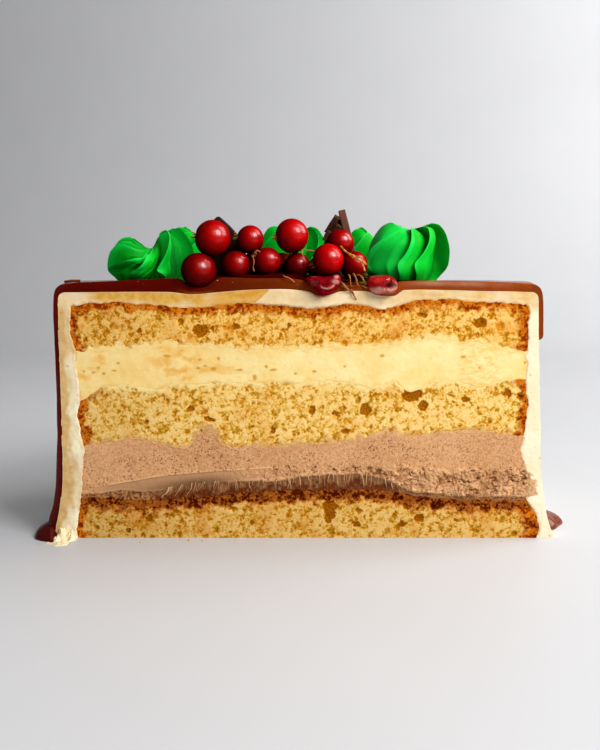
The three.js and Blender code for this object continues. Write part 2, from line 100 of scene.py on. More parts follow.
CREAM_FLOOR = [(-84, 40), (-68, 44), (-61, 48.8), (-54, 49.5), (-46, 48.5), (-37, 49.6), (13, 50.4),
               (21, 48.8), (30, 50), (35.5, 47), (41, 50.4), (50, 50.7), (57, 49.1), (65, 51), (84, 51)]
CREAM_TOP = [(-84, 58.6), (-66, 60.1), (-37, 62.1), (-12, 59.7), (-7, 61), (1, 60.7), (24, 61.6),
             (41, 64.1), (52, 62.2), (56, 62.8), (66, 60.1), (84, 60.1)]
CROWN = [(-84, 73.4), (-69, 74.3), (-55, 74.9), (-32, 73.3), (-18, 74.6), (4, 73.3), (16, 74.3),
         (27, 73.3), (37, 75.7), (50, 75.6), (66, 74.6), (84, 72.6)]
GLAZE_FLOOR = [(-84, 78.1), (-72, 78.1), (-40, 78.2), (-32.6, 77.5), (-25, 78.1), (-16, 78.8),
               (-5, 79.1), (0, 78.8), (3.6, 78.2), (5.5, 77.2), (8, 77), (10.4, 77.6), (13, 78.4),
               (19, 78.5), (22, 78.2), (24, 77.3), (27, 77), (29.7, 77.1), (31, 77.9), (32.4, 78.8),
               (46, 78.8), (56, 78.5), (65, 78.4), (71, 78.2), (84, 78.2)]
GLAZE_CREST = [(-84, 80.4), (-71, 80.6), (-68, 81), (-57, 81.6), (-45, 82.2), (-39, 82.5), (-36.2, 82.3),
               (-34.1, 79.9), (-31.6, 79.4), (-28.6, 79.4), (-26.1, 81.6), (-24.5, 82.6), (-22.4, 82.9),
               (-14.8, 82.6), (-2.5, 82.5), (1.2, 81.9), (4, 81), (14, 80.1), (20, 80), (24, 80.2),
               (30, 80.8), (32, 81.4), (43, 81.7), (56, 81.5), (66, 81), (71, 80.6), (84, 80.4)]
KNIFE_LINE = [(-84, 15.5), (-63, 17.1), (-53, 18.7), (-44, 20.3), (-31, 21.6), (-20, 22.3), (-9, 22.9),
              (84, 23.5)]

# Where the mousse rises to a spike
SPIKE_X = -28.7
# First guess at where the cut starts and how wide it is, and the span that its ends are measured by
CUT_START = -70
CUT_WIDTH = 141
END_SPAN = 140

# Ends of the layers on the cut, as (z, x)
LEFT_END = [(-2, -70.4), (0, -70.5), (3, -70.7), (6, -70.3), (11, -69.4), (16, -68.6), (22, -68.1),
            (30, -67.5), (35, -68.5), (40, -69.3), (44, -68.2), (51, -68.6), (60, -69.2), (65, -70.2),
            (70, -70.3), (76, -69.8)]
RIGHT_END = [(-2, 75.9), (0, 76), (3, 77), (7.6, 75.5), (11, 73.6), (14, 72.2), (17, 73), (20, 72.8),
             (24, 71.4), (27, 70.4), (32, 70.4), (38, 71.6), (42, 71.8), (48, 71), (54, 70.8),
             (60, 70.9), (67, 71.2), (76, 70.5)]

# Large bubbles in the crumb: x, z, half width, half height
BOTTOM_HOLES = [(10, 10.4, 2.4, 2), (10, 8.2, 1.8, 2.6), (9.8, 6.2, 1.1, 2), (38.5, 6.6, 1.6, 1.6),
                (33.1, 4.3, 1.2, 1.2), (18.1, 4.3, 1.2, 1.1), (-14.8, 5, 0.9, 0.9),
                (-47.3, 6.3, 1.2, 1.1), (-54.4, 2.3, 1.2, 1)]
MIDDLE_HOLES = [(34.6, 45.9, 2.6, 2.4), (37.6, 47, 0.9, 1.7), (39, 43.1, 1.6, 1.8),
                (20.9, 41.5, 2.1, 1.9), (15, 34.8, 1.9, 1.2), (-7.9, 34.8, 1.1, 1.2),
                (4.6, 41.5, 1.2, 1.4), (11.5, 40.6, 1.5, 0.9), (-33.9, 41.8, 1.3, 1.1),
                (-27.7, 38.7, 1.7, 0.9), (-47.4, 37.7, 1.1, 0.8), (65.4, 46.9, 1.2, 1.1),
                (52.1, 45, 1.4, 0.9), (-14.5, 36.1, 0.8, 0.8)]
TOP_HOLES = [(-30.3, 66.3, 2.7, 1.7), (56, 68.7, 2.3, 1.6), (38.4, 71.2, 1.2, 0.9),
             (-26.3, 66.9, 1, 0.9), (-19.2, 67.8, 1.1, 0.9), (-49.2, 66.3, 1.1, 0.8),
             (-2.9, 67.8, 0.9, 0.8)]

# Currants: x, y, z, radius, brightness, and the way the dried tip points. The brightness is partly the
# currant's own tone and partly painted shade: the currants low down and behind are darker
CURRANTS = [
    (-26.8, 6.9, 94.7, 5.7, 0.5, (-0.96, -0.2, 0.15)), (-30.8, 2.5, 84.8, 5.4, 0.1, (-0.5, 0.6, -0.6)),
    (-15.3, 10.2, 94.6, 4.4, 0.5, (-0.93, -0.3, 0.2)), (-19.8, 7, 86.4, 4.5, 0.2, (0.3, 0.9, -0.3)),
    (-9.8, 7, 87.7, 4.4, 0.45, (-0.8, -0.35, 0.45)), (-2, 7.6, 95.6, 5.3, 0.75, (-0.95, -0.3, -0.1)),
    (-0.4, 9.6, 86.4, 4.1, 0.1, (0.4, 0.8, -0.4)), (9.2, 2, 88.1, 4.8, 1, (-0.9, 0.1, -0.35)),
    (13.3, 11.5, 93.5, 4.4, 0.4, (0.5, 0.8, 0.3)), (17.6, 8, 86.5, 4.4, 0.35, (0.7, -0.2, -0.7)),
    # The last three sit behind the others, nearly black: painted shade in the gaps between the front currants
    (-14.5, 16, 86.5, 4.4, 0.05, (0.3, 0.9, -0.3)), (-5.4, 16.6, 86.4, 4.3, 0.05, (-0.3, 0.9, -0.3)),
    (6.4, 13.8, 85.7, 3.6, 0.05, (0.2, 0.9, -0.4)),
]
# Crushed currants: outline from the front, then the middle and half of the depth
CRUSHED = [
    ([(2.2, 82.3), (4.2, 83), (7.2, 83), (9.9, 83), (11.8, 83.5), (13, 82.6), (12.9, 80.7), (11.8, 79),
      (9.7, 77.8), (7.8, 77), (6.3, 77.2), (4.8, 79), (3.3, 80.8)], -0.4, 3.5),
    ([(20.8, 81.7), (21.7, 82.8), (23.6, 83.3), (26.3, 83.4), (28.4, 83), (29.8, 82), (30.4, 80.4),
      (30.1, 78.5), (28.5, 77.3), (26.1, 77.1), (24, 77.5), (22.1, 78.5), (21, 80)], 0, 3.5),
]
# Paths of thin stalk ends between the currants, and of torn fibres by the crushed ones
STALK_ENDS = [
    [(-13.4, 2.4, 90.2), (-12.6, 2.2, 90.9), (-11.8, 2.4, 90.4)],
    [(-14, 2.2, 89.3), (-13.6, 1.9, 87.5), (-13.9, 2, 85.8), (-13.6, 2.2, 84.6)],
    [(1.8, 1.6, 91.6), (1.2, 1.2, 90.2), (1.7, 1, 88.8)],
    [(2.2, 1.6, 91), (3.4, 1.3, 90.9), (4.9, 1.6, 90.7)],
    [(-4.4, -0.3, 83), (-3.2, -0.6, 82.7), (-2, -0.6, 82), (-1.2, -0.4, 81.2)],
    [(-4.6, -0.2, 83.3), (-4, -0.5, 82.8), (-3.2, -0.6, 82.7)],
]
FIBRES = [
    [(15.4, 1, 83.4), (15.7, -0.6, 82.9), (15.9, -1, 81.6), (16.1, -0.7, 80.4), (16.6, -0.3, 79.9)],
    [(17, 1, 83.6), (17.2, -0.5, 83.2), (17.7, -1, 82), (18, -0.9, 80.8), (18.6, -0.3, 80)],
    [(18, 1, 83.3), (18.7, -0.6, 83.4), (19.7, -1, 82.2), (20.5, -0.8, 81), (21.6, -0.3, 80.4)],
    [(12.6, 0.4, 81.4), (13.4, -0.7, 80.9), (14.6, -0.9, 79.6), (16, -0.6, 78.4), (16.8, -0.3, 78)],
    [(16.2, -0.3, 79), (16.7, -0.7, 78), (17.2, -0.6, 76.9), (17.9, -0.3, 75.9)],
    [(19.4, 0.2, 80.2), (20.6, -0.7, 79.7), (22.4, -0.6, 79.5), (24, -0.4, 79.7)],
    [(13, 0.4, 80.2), (13.8, -0.5, 79.9), (14.9, -0.6, 79.9)],
]
# The side of a currant that shines, as a direction, which also sets its painted glow and painted shade
SHINE_SIDE = np.array([0.41, -0.85, 0.32])

# Bubbles in the cream: x, z, half width, half height
CREAM_HOLES = [(-62.3, 54.9, 0.6, 0.3), (-60.7, 53, 0.5, 0.35), (-63.8, 53.3, 0.5, 0.3),
               (-66.8, 53.6, 0.3, 0.4), (-57.3, 53.8, 0.7, 0.25), (-56, 56.2, 0.5, 0.3),
               (-40.8, 58.4, 1.1, 0.35), (-30.6, 57.3, 0.4, 0.4), (-31.2, 54.6, 0.6, 0.4),
               (-29, 55.3, 0.4, 0.3), (-26.4, 54.5, 0.8, 0.5), (-24.7, 57.6, 0.4, 0.4),
               (-18.3, 54.1, 0.9, 0.3), (-13.7, 51.8, 0.6, 0.8), (-10, 55.2, 0.4, 0.4),
               (-7.8, 54.1, 0.9, 0.3), (-1, 52.9, 0.4, 0.3), (25.9, 58.5, 0.7, 0.4), (5, 53.6, 0.6, 0.4),
               (14.3, 55.2, 0.4, 0.25), (51.2, 58.2, 0.7, 0.35), (70.4, 56.4, 0.4, 0.4),
               (56.4, 54.8, 0.4, 0.3)]

# Swirls: x, y, radius, height, how much lower front and back are, rise to +X, height of the pinch, lean and
# twist in degrees
SWIRLS = [(-48.6, 18.5, 14, 15.4, 0.5, 0.4, 0.12, 0.66, 0, 62),
          (-35.5, 42.5, 12.5, 19.4, 0.15, 0.15, 0, 0.8, 0, 62),
          (-2, 47, 12.5, 18.8, 0.15, 0.15, 0, 0.8, 0, 62),
          (27.5, 46, 10.5, 18.6, 0.2, 0.15, -0.04, 0.78, 0, 62),
          (35, 18, 13.6, 19, 0.16, 0.14, 0, 0.86, 2, 35)]
# Section of a swirl, as shares of its radius and height, and the radius of its crest
SWIRL_SECTION = [(0.8, 0), (0.98, 0.2), (1, 0.42), (0.92, 0.7), (0.72, 0.94), (0.48, 1), (0.22, 1), (0, 1)]
CREST = 0.48
# Fins: how many, how deep as a share of the radius, and the power that slants the grooves, with the numbers
# of single swirls that differ
FINS = 8
FIN_COUNTS = {1: 15}
FIN_DEPTH = 0.28
FIN_SLANT = 2.0
FIN_SLANTS = {1: 1.0}
# How far single fins of the last swirl stand round from their even places, in radians, at its base and at
# its crest
FIN_SHIFTS = {5: ((0, 0, 0, 0.1, 0.35, 0.6, 0.5, 0.1), (0, 0, 0, 0.15, 0.45, 0.62, 0.3, 0))}
# How far single fins of the last swirl stand out at its crest, as a share of the radius
FIN_REACH = {5: (0.1, 0, 0, 0, 0.06, 0.3, 0.08, 0)}
# How far the hollows after single fins are filled
PANELS = {5: (0, 0, 0, 0, 0.4, 0.68, 0.35, 0.2)}
# How much closer fins stand on the side away from +X
CROWDED = {1: 0.55}
# How much darker the green is painted on the side away from +X, as painted shade, and how much paler
# towards an angle in degrees, as painted light
SIDE_SHADE = {1: 0.6}
SIDE_LIGHT = {1: (0.35, 0), 5: (0.75, 222)}

# Drips of the glaze: degrees round from +X, half width in degrees, height of the tip
LONG_TIP = 1.6
SEEN_DRIPS = [(0, 3.6, 63.5), (11, 3.4, LONG_TIP), (178, 4.4, LONG_TIP)]
# Which of the drips round the back run down to the foot
LONG_DRIPS = (2, 5)
MM_PER_DEGREE = math.radians(RADIUS)
# Puddles: number of the drip, reach, half width, height
PUDDLES = {"glaze_puddle_right": (1, 9, 8, 4.7), "glaze_puddle_left": (2, 6.8, 6.8, 4.8),
           "glaze_puddle_back_1": (5, 6.7, 8.5, 4.5), "glaze_puddle_back_2": (8, 7.7, 7, 4.5)}

# Studio, in metres: each light's place, target, size and watts, then the camera, the sky and the floor
LIGHTS = {"key_light": ((0.45, -0.40, 0.50), (0, -0.03, 0.05), 0.33, 5.3),
          "front_light": ((0.25, -0.50, 0.52), (0, -0.03, 0.05), 0.4, 1.3),
          "wall_light": ((1.0, 0.3, 0.85), (0.12, 0.95, 0.55), 1.0, 19)}
CAMERA_PLACE = (0.00054, -0.26835, 0.08187)
CAMERA_PITCH = 7.219
LENS = 36
SENSOR = 36
SKY_TINT = (0.95, 0.97, 1.0, 1)
SKY_STRENGTH = 0.16
FLOOR_HALF = 2
FLOOR_FRONT = -0.45
FLOOR_BACK = 0.55
WALL_BEND = 0.4
WALL_TOP = 2.2


def curve(points):
    """A smooth line through points: cubic pieces whose slope at a point is that from neighbour to
    neighbour."""
    px, py = np.array(points, float).T
    count = len(px)
    before = np.maximum(np.arange(count) - 1, 0)
    after = np.minimum(np.arange(count) + 1, count - 1)
    slope = (py[after] - py[before]) / (px[after] - px[before])

    def height(x):
        """The line between two points, plus a bend that is a product of the shares of the way."""
        i = np.clip(np.searchsorted(px, x, side="right") - 1, 0, count - 2)
        width = px[i + 1] - px[i]
        t = np.clip((x - px[i]) / width, 0, 1)
        bend = (slope[i] * (1 - t) - slope[i + 1] * t) * width + (py[i + 1] - py[i]) * (2 * t - 1)
        return py[i] * (1 - t) + py[i + 1] * t + t * (1 - t) * bend

    return height


def draw(*cells):
    """Fixed numbers from 0 to 1 for whole numbers: the fraction left of a large multiple of a sine."""
    mixed = sum(np.asarray(cell, float) * turn for cell, turn in zip(cells, DRAW_TURNS))
    wave = np.sin(mixed) * DRAW_SCALE
    return wave - np.floor(wave)


def ease(t):
    """Three squares less two cubes: a smooth start and end."""
    return t * t * (3 - 2 * t)


def step(x, low, high):
    """0 below low and 1 above high, eased between."""
    return ease(np.clip((x - low) / (high - low), 0, 1))


def between(x, low, full, fade, high):
    """0 up to low, 1 from full to fade and 0 from high on, eased in both steps."""
    return step(x, low, full) * (1 - step(x, fade, high))


def bell(t):
    """A bell curve: e to the power of minus a square."""
    return np.exp(-(t**2))


def grain(x, z, size, seed):
    """Smooth noise from -1 to 1: numbers drawn at the corners of square cells, eased across each cell.
    The cells are turned by an angle that goes with the seed."""
    turn = 0.4 + 1.7 * seed
    u = (x * math.cos(turn) + z * math.sin(turn)) / size
    v = (z * math.cos(turn) - x * math.sin(turn)) / size
    i, j = np.floor(u), np.floor(v)
    a, b = ease(u - i), ease(v - j)
    low = draw(i, j, seed) * (1 - a) + draw(i + 1, j, seed) * a
    high = draw(i, j + 1, seed) * (1 - a) + draw(i + 1, j + 1, seed) * a
    return 2 * (low * (1 - b) + high * b) - 1


def lumps(x, z, size, seed, layers=3):
    """Noise in layers, each half the size and half as strong as the one before."""
    return sum(grain(x, z, size / 2**k, seed + 17 * k) / 2**k for k in range(layers))


def pores(x, z, cell, share, low, high, seed):
    """Depth of round pores: in a share of square cells a ball of radius low to high is taken out, so that
    the depth is the root of the radius squared less the distance squared."""
    i, j = np.floor(x / cell), np.floor(z / cell)
    deep = np.zeros(np.broadcast(x, z).shape)
    for di in (-1, 0, 1):
        for dj in (-1, 0, 1):
            ci, cj = i + di, j + dj
            radius = low + (high - low) * draw(ci, cj, seed) ** 2
            radius = radius * (draw(ci, cj, seed + 3) < share)
            away_x = x - (ci + draw(ci, cj, seed + 5)) * cell
            away_z = z - (cj + draw(ci, cj, seed + 9)) * cell
            deep = np.maximum(deep, np.sqrt(np.maximum(0, radius**2 - away_x**2 - away_z**2)))
    return deep


def hollows(x, z, holes, seed, bend=0.5):
    """Large bubbles: a share from 0 at the edge to 1 in the middle of each oval, its outline bent by
    noise."""
    bent_x = x + bend * (lumps(x, z, 1.9, seed) + 0.5 * grain(x, z, 0.7, seed + 3))
    bent_z = z + bend * (lumps(x, z, 1.7, seed + 7) + 0.5 * grain(x, z, 0.7, seed + 4))
    deep = np.zeros(x.shape)
    for at_x, at_z, half, rise in holes:
        deep = np.maximum(deep, 1 - ((bent_x - at_x) / half) ** 2 - ((bent_z - at_z) / rise) ** 2)
    return np.sqrt(deep)


def ragged(points, amount, size, seed):
    """A line on the cut with a torn edge: the smooth line plus noise along x."""
    smooth = curve(points)
    return lambda x: smooth(x) + amount * lumps(x, 0 * x, size, seed)


def ragged_end(points, seed):
    """An end of the layers on the cut: a smooth line plus noise along z."""
    smooth = curve(points)
    return lambda z: smooth(z) + 0.4 * lumps(z, 0 * z, 1.9, seed)


left_end = ragged_end(LEFT_END, 17)
right_end = ragged_end(RIGHT_END, 18)


def level(x, z):
    """Depth at which neighbours on the cut meet: slow noise."""
    return 0.1 + 0.1 * lumps(x, z, 4, 19)


def flush(x, z, depth, gap):
    """A depth drawn to the shared level over the last half millimetre before an edge."""
    return level(x, z) + (depth - level(x, z)) * step(gap, 0, 0.5)


def slump(z):
    """Sideways slump of the cake at a height: greatest at the base, none at the top."""
    return LEAN * np.maximum(0, 1 - z / FROSTING_TOP) ** 1.5


def side_radius(z):
    """Radius of the frosted side: it widens evenly to the base, and by a square law in the foot."""
    foot = FOOT_FLARE * np.maximum(0, 1 - z / FOOT_HEIGHT) ** 2
    return RADIUS + SIDE_SPREAD * (1 - z / FROSTING_TOP) + foot


def spread(turn, z):
    """How much further the coat stands out at its left foot: a step in the angle times a fall with the
    height."""
    return 0.8 * step(-np.cos(turn), 0.85, 1) * (1 - step(z, 6, 40))


def points_of(x, y, z):
    """Three arrays side by side as points."""
    return np.stack(np.broadcast_arrays(x, y, z), -1).astype(float)


def quads(rows, columns, start=0):
    """Four-sided faces between neighbouring points of a grid whose points are numbered from a start."""
    index = start + np.arange(rows * columns).reshape(rows, columns)
    corners = [index[:-1, :-1], index[1:, :-1], index[1:, 1:], index[:-1, 1:]]
    return np.stack(corners, -1).reshape(-1, 4)


def join(sheets):
    """Points, four-sided faces and tags of several grids, in which points that coincide become one.
    A sheet is a grid of points and the tags that its points carry."""
    names = sorted({name for _, tags in sheets for name in tags})
    points, faces, start = [], [], 0
    values = {name: [] for name in names}
    for grid, tags in sheets:
        rows, columns = grid.shape[:2]
        faces.append(quads(rows, columns, start))
        points.append(grid.reshape(-1, 3))
        start += rows * columns
        for name in names:
            values[name].append(np.broadcast_to(tags.get(name, 0.0), (rows, columns)).ravel())
    points = np.concatenate(points)
    cells = np.round(points * WELD_STEPS).astype(np.int64) + 2 ** (KEY_BITS - 1)
    key = cells[:, 0] + (cells[:, 1] << KEY_BITS) + (cells[:, 2] << 2 * KEY_BITS)
    _, first, place = np.unique(key, return_index=True, return_inverse=True)
    tags = {name: np.concatenate(values[name])[first] for name in names}
    return points[first], place[np.concatenate(faces)], tags


def piece(name, sheets, finish, nodes=()):
    """One mesh from grids of points: quads, or triangles where two corners of a quad coincide, facing
    outwards."""
    points, faces, tags = join(sheets)
    same = faces == np.roll(faces, -1, axis=1)
    crossed = (faces[:, 0] == faces[:, 2]) | (faces[:, 1] == faces[:, 3])
    folds = same.sum(1)
    whole = faces[(folds == 0) & ~crossed]
    bent = (folds == 1) & ~crossed
    order = (same[bent].argmax(1)[:, None] + np.array([1, 2, 3])) % 4
    three = np.take_along_axis(faces[bent], order, 1)
    corners = np.concatenate([whole.ravel(), three.ravel()])
    starts = np.concatenate([np.arange(len(whole)) * 4, len(whole) * 4 + np.arange(len(three)) * 3])
    mesh = bpy.data.meshes.new(name)
    mesh.vertices.add(len(points))
    mesh.loops.add(len(corners))
    mesh.polygons.add(len(starts))
    mesh.vertices.foreach_set("co", ((points + (0, CUT_Y, 0)) / MM_PER_M).ravel())
    mesh.loops.foreach_set("vertex_index", corners.astype(np.int32))
    mesh.polygons.foreach_set("loop_start", starts.astype(np.int32))
    mesh.update(calc_edges=True)
    for tag, value in tags.items():
        mesh.attributes.new(tag, "FLOAT", "POINT").data.foreach_set("value", value.astype(np.float32))
    turned = bmesh.new()
    turned.from_mesh(mesh)
    bmesh.ops.recalc_face_normals(turned, faces=turned.faces[:])
    turned.to_mesh(mesh)
    turned.free()
    mesh.shade_smooth()
    mesh.set_sharp_from_angle(angle=SHARP_ANGLE)
    mesh.materials.append(finish)
    made = bpy.data.objects.new(name, mesh)
    bpy.context.scene.collection.objects.link(made)
    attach(made, "root")
    if nodes:
        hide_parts(*nodes)


def frame_of(axis):
    """Three directions at right angles, the last along an axis."""
    along = np.array(axis, float) / np.linalg.norm(axis)
    side = np.cross(along, OFF_TIP)
    side = side / np.linalg.norm(side)
    return np.stack([side, np.cross(along, side), along])


def tube(path, radius, sides=8):
    """A round section carried along a path: each ring stands across the path, and the ends close to a
    point."""
    path = np.array(path, float)
    path = np.concatenate([path[:1], path, path[-1:]])
    radius = np.broadcast_to(radius, len(path) - 2)
    radius = np.concatenate([[0], radius, [0]])
    along = np.gradient(path[1:-1], axis=0)
    along = np.concatenate([along[:1], along, along[-1:]])
    along = along / np.linalg.norm(along, axis=1, keepdims=True)
    side = np.cross(along, OFF_PATH)
    side = side / np.linalg.norm(side, axis=1, keepdims=True)
    other = np.cross(along, side)
    turn = np.linspace(0, 2 * np.pi, sides + 1)
    turn[-1] = 0
    ring = np.cos(turn)[None, :, None] * side[:, None] + np.sin(turn)[None, :, None] * other[:, None]
    return path[:, None] + ring * radius[:, None, None]


def bent_path(points, count):
    """A smooth path through points: each coordinate is a smooth line over the number of the point."""
    points = np.array(points, float)
    at = np.arange(len(points))
    s = np.linspace(0, len(points) - 1, count)
    return np.stack([curve(np.stack([at, points[:, k]], 1))(s) for k in range(3)], 1)


def once_round(count):
    """Angles once round, as a column."""
    return np.linspace(0, 2 * np.pi, count)[:, None]


def ball(around, down):
    """A ball of radius one over the angle round it and the angle down from its pole."""
    return points_of(np.sin(down) * np.cos(around), np.sin(down) * np.sin(around), np.cos(down) + 0 * around)


def closed(grid):
    """A grid whose last row is its first one, with a single point at each pole."""
    grid[-1] = grid[0]
    grid[:, 0] = grid[0, 0]
    grid[:, -1] = grid[0, -1]
    return grid


def mound(x, y, z, level_z):
    """A low heap: its top, which comes down to a level at its edge, and a flat copy of it as its
    floor."""
    z[:, -1] = level_z
    top = points_of(x, y, z)
    top[-1] = top[0]
    top[:, 0] = top[0, 0]
    floor = top.copy()
    floor[..., 2] = level_z
    return top, floor


class Value:
    """A number that changes over a surface: a shader socket whose operators add Math nodes."""

    def __init__(self, recipe, socket):
        self.recipe = recipe
        self.socket = socket

    def math(self, operation, *terms):
        """A Math node on terms in their order."""
        made = self.recipe.node("ShaderNodeMath", {"operation": operation}, dict(enumerate(terms)))
        return Value(self.recipe, made.outputs[0])

    def __add__(self, other):
        return self.math("ADD", self, other)

    def __radd__(self, other):
        return self.math("ADD", other, self)

    def __sub__(self, other):
        return self.math("SUBTRACT", self, other)

    def __rsub__(self, other):
        return self.math("SUBTRACT", other, self)

    def __mul__(self, other):
        return self.math("MULTIPLY", self, other)

    def __rmul__(self, other):
        return self.math("MULTIPLY", other, self)

    def step(self, low, high):
        """0 below low and 1 above high, eased between."""
        settings = {"interpolation_type": "SMOOTHSTEP"}
        sockets = {"Value": self, "From Min": low, "From Max": high}
        return Value(self.recipe, self.recipe.node("ShaderNodeMapRange", settings, sockets).outputs[0])


class Recipe:
    """One finish: a principled surface with fixed values, and the nodes that vary its colour, gloss and
    bumps."""

    def __init__(self, name, **fixed):
        self.finish = bpy.data.materials.new(name)
        self.finish.use_nodes = True
        self.tree = self.finish.node_tree
        self.surface = next(n for n in self.tree.nodes if n.type == "BSDF_PRINCIPLED")
        self.place = self.node("ShaderNodeTexCoord", {}, {}).outputs["Object"]
        for socket, value in fixed.items():
            self.surface.inputs[socket.replace("_", " ")].default_value = value

    def node(self, kind, settings, sockets):
        """A node of any type: its settings first, then a value or a link for each socket named or
        numbered."""
        made = self.tree.nodes.new(kind)
        for name, value in settings.items():
            setattr(made, name, value)
        for name, value in sockets.items():
            self.put(made.inputs[name], value)
        return made

    def put(self, socket, value):
        """A link where the value is a socket, or else a plain value."""
        if isinstance(value, Value):
            value = value.socket
        if isinstance(value, bpy.types.NodeSocket):
            self.tree.links.new(value, socket)
        else:
            socket.default_value = value

    def tag(self, name):
        """A tag that the piece's points carry."""
        made = self.node("ShaderNodeAttribute", {"attribute_name": name}, {})
        return Value(self, made.outputs["Fac"])

    def stretched(self, x, y, z):
        """Place on the piece, stretched along the axes."""
        made = self.node("ShaderNodeVectorMath", {"operation": "MULTIPLY"}, {0: self.place, 1: (x, y, z)})
        return made.outputs[0]

    def noise(self, size, detail=2.0, rough=0.5, place=None):
        """Noise from 0 to 1 with features of a size in millimetres."""
        sockets = {"Vector": place or self.place, "Scale": MM_PER_M / size, "Detail": detail,
                   "Roughness": rough}
        return Value(self, self.node("ShaderNodeTexNoise", {}, sockets).outputs[0])

    def mix(self, share, first, second, blend="MIX"):
        """A colour between two colours."""
        colours = {}
        for number, colour in ((FIRST_COLOUR, first), (SECOND_COLOUR, second)):
            colours[number] = (*colour, 1) if isinstance(colour, tuple) else colour
        settings = {"data_type": "RGBA", "blend_type": blend}
        return self.node("ShaderNodeMix", settings, {0: share, **colours}).outputs[MIXED_COLOUR]

    def bump(self, height, distance):
        """Small relief: a height from 0 to 1 that stands for a distance in millimetres."""
        sockets = {"Height": height, "Distance": distance * M_PER_MM, "Strength": 1.0}
        return self.node("ShaderNodeBump", {}, sockets).outputs[0]

    def set(self, **sockets):
        """Links that vary the surface over the piece."""
        for name, value in sockets.items():
            self.put(self.surface.inputs[name.replace("_", " ")], value)
        return self.finish


def sponge_finish():
    """Crumb: pale walls, with the recesses painted darker, olive or amber, by depth as painted shade,
    warmer in some layers, dimmed by painted shade in the bottom layer and towards the left end, smears
    of the fillings, and a browned crust that the tags place."""
    r = Recipe("vanilla_sponge", Specular_IOR_Level=0.0)
    fine = r.noise(0.6, 3, 0.65)
    tint = r.noise(2.6, 2).step(0.4, 0.62)
    warm = r.tag("warm")
    pale = r.mix(warm, (0.93, 0.66, 0.245), (0.92, 0.55, 0.14))
    pale = r.mix(tint * 0.5, pale, (0.92, 0.56, 0.165))
    middle = r.mix(warm, (0.78, 0.44, 0.062), (0.73, 0.335, 0.028))
    deep = r.mix(tint, r.mix(warm, (0.44, 0.205, 0.004), (0.43, 0.155, 0.0015)), (0.45, 0.135, 0.0015))
    # The pore share darkens the crumb to the middle and deep colours: painted shade in the recesses. The
    # noise adds the crumb's own flecks.
    depth = r.tag("pore") + 1.6 * (fine - 0.5) + 1.2 * (r.noise(1.5, 2) - 0.5)
    crumb = r.mix(depth.step(0.02, 0.42), pale, middle)
    crumb = r.mix(depth.step(0.36, 0.9), crumb, deep)
    crumb = r.mix(r.tag("stain") * 0.55, crumb, (0.72, 0.25, 0.012))
    # Large bubbles painted dark amber: painted shade inside the holes.
    shaded_bubble = r.mix(fine.step(0.35, 0.65), (0.26, 0.064, 0.0012), (0.45, 0.15, 0.002))
    crumb = r.mix(r.tag("hole"), crumb, shaded_bubble)
    # Painted shade: dims the bottom layer and the left end.
    crumb = r.mix(r.tag("dim"), crumb, (0.55, 0.48, 0.42), "MULTIPLY")
    crumb = r.mix(r.tag("cream"), crumb, (0.95, 0.72, 0.29))
    smeared = r.mix(fine.step(0.4, 0.65), (0.66, 0.35, 0.145), (0.48, 0.225, 0.08))
    crumb = r.mix(r.tag("tan") * (1 - 0.75 * depth.step(0.35, 0.8)), crumb, smeared)
    # The crust is darker over the pores, painted shade there, and where noise says.
    grit = r.tag("pore") * 0.6 + r.noise(0.9, 3, 0.75) + 0.8 * (fine - 0.5)
    toasted = r.mix(grit.step(0.38, 0.95), (0.70, 0.20, 0.008), (0.25, 0.022, 0.0003))
    crumb = r.mix(r.tag("crust"), crumb, toasted)
    soaked = r.mix(grit.step(0.4, 0.85), (0.37, 0.10, 0.012), (0.07, 0.005, 0.0002))
    crumb = r.mix(r.tag("soaked"), crumb, soaked)
    return r.set(Base_Color=crumb, Roughness=0.85 + 0.1 * fine, Normal=r.bump(r.noise(0.4, 3, 0.65), 0.1))


def ganache_finish():
    """Ganache: satin brown with fine upright streaks, darker towards the crumb below so that its upper part
    stays lighter and greyish, a painted sheen, and gritty where the tag says that crumb covers it."""
    r = Recipe("ganache_brown", Specular_IOR_Level=0.1)
    streak = r.noise(1, 3, 0.6, r.stretched(2.2, 1, 0.3))
    brown = r.mix(streak.step(0.3, 0.75), (0.19, 0.07, 0.02), (0.42, 0.20, 0.088))
    # Painted sheen: the lower part is darkened, so the upper part stays lighter and greyish.
    brown = r.mix(r.tag("edge"), brown, (0.115, 0.021, 0.001))
    gritty = r.mix(r.noise(0.7, 3, 0.7).step(0.35, 0.65), (0.46, 0.21, 0.075), (0.10, 0.022, 0.004))
    brown = r.mix(r.tag("grit"), brown, gritty)
    return r.set(Base_Color=brown, Roughness=0.3 + 0.25 * streak, Normal=r.bump(streak, 0.2))


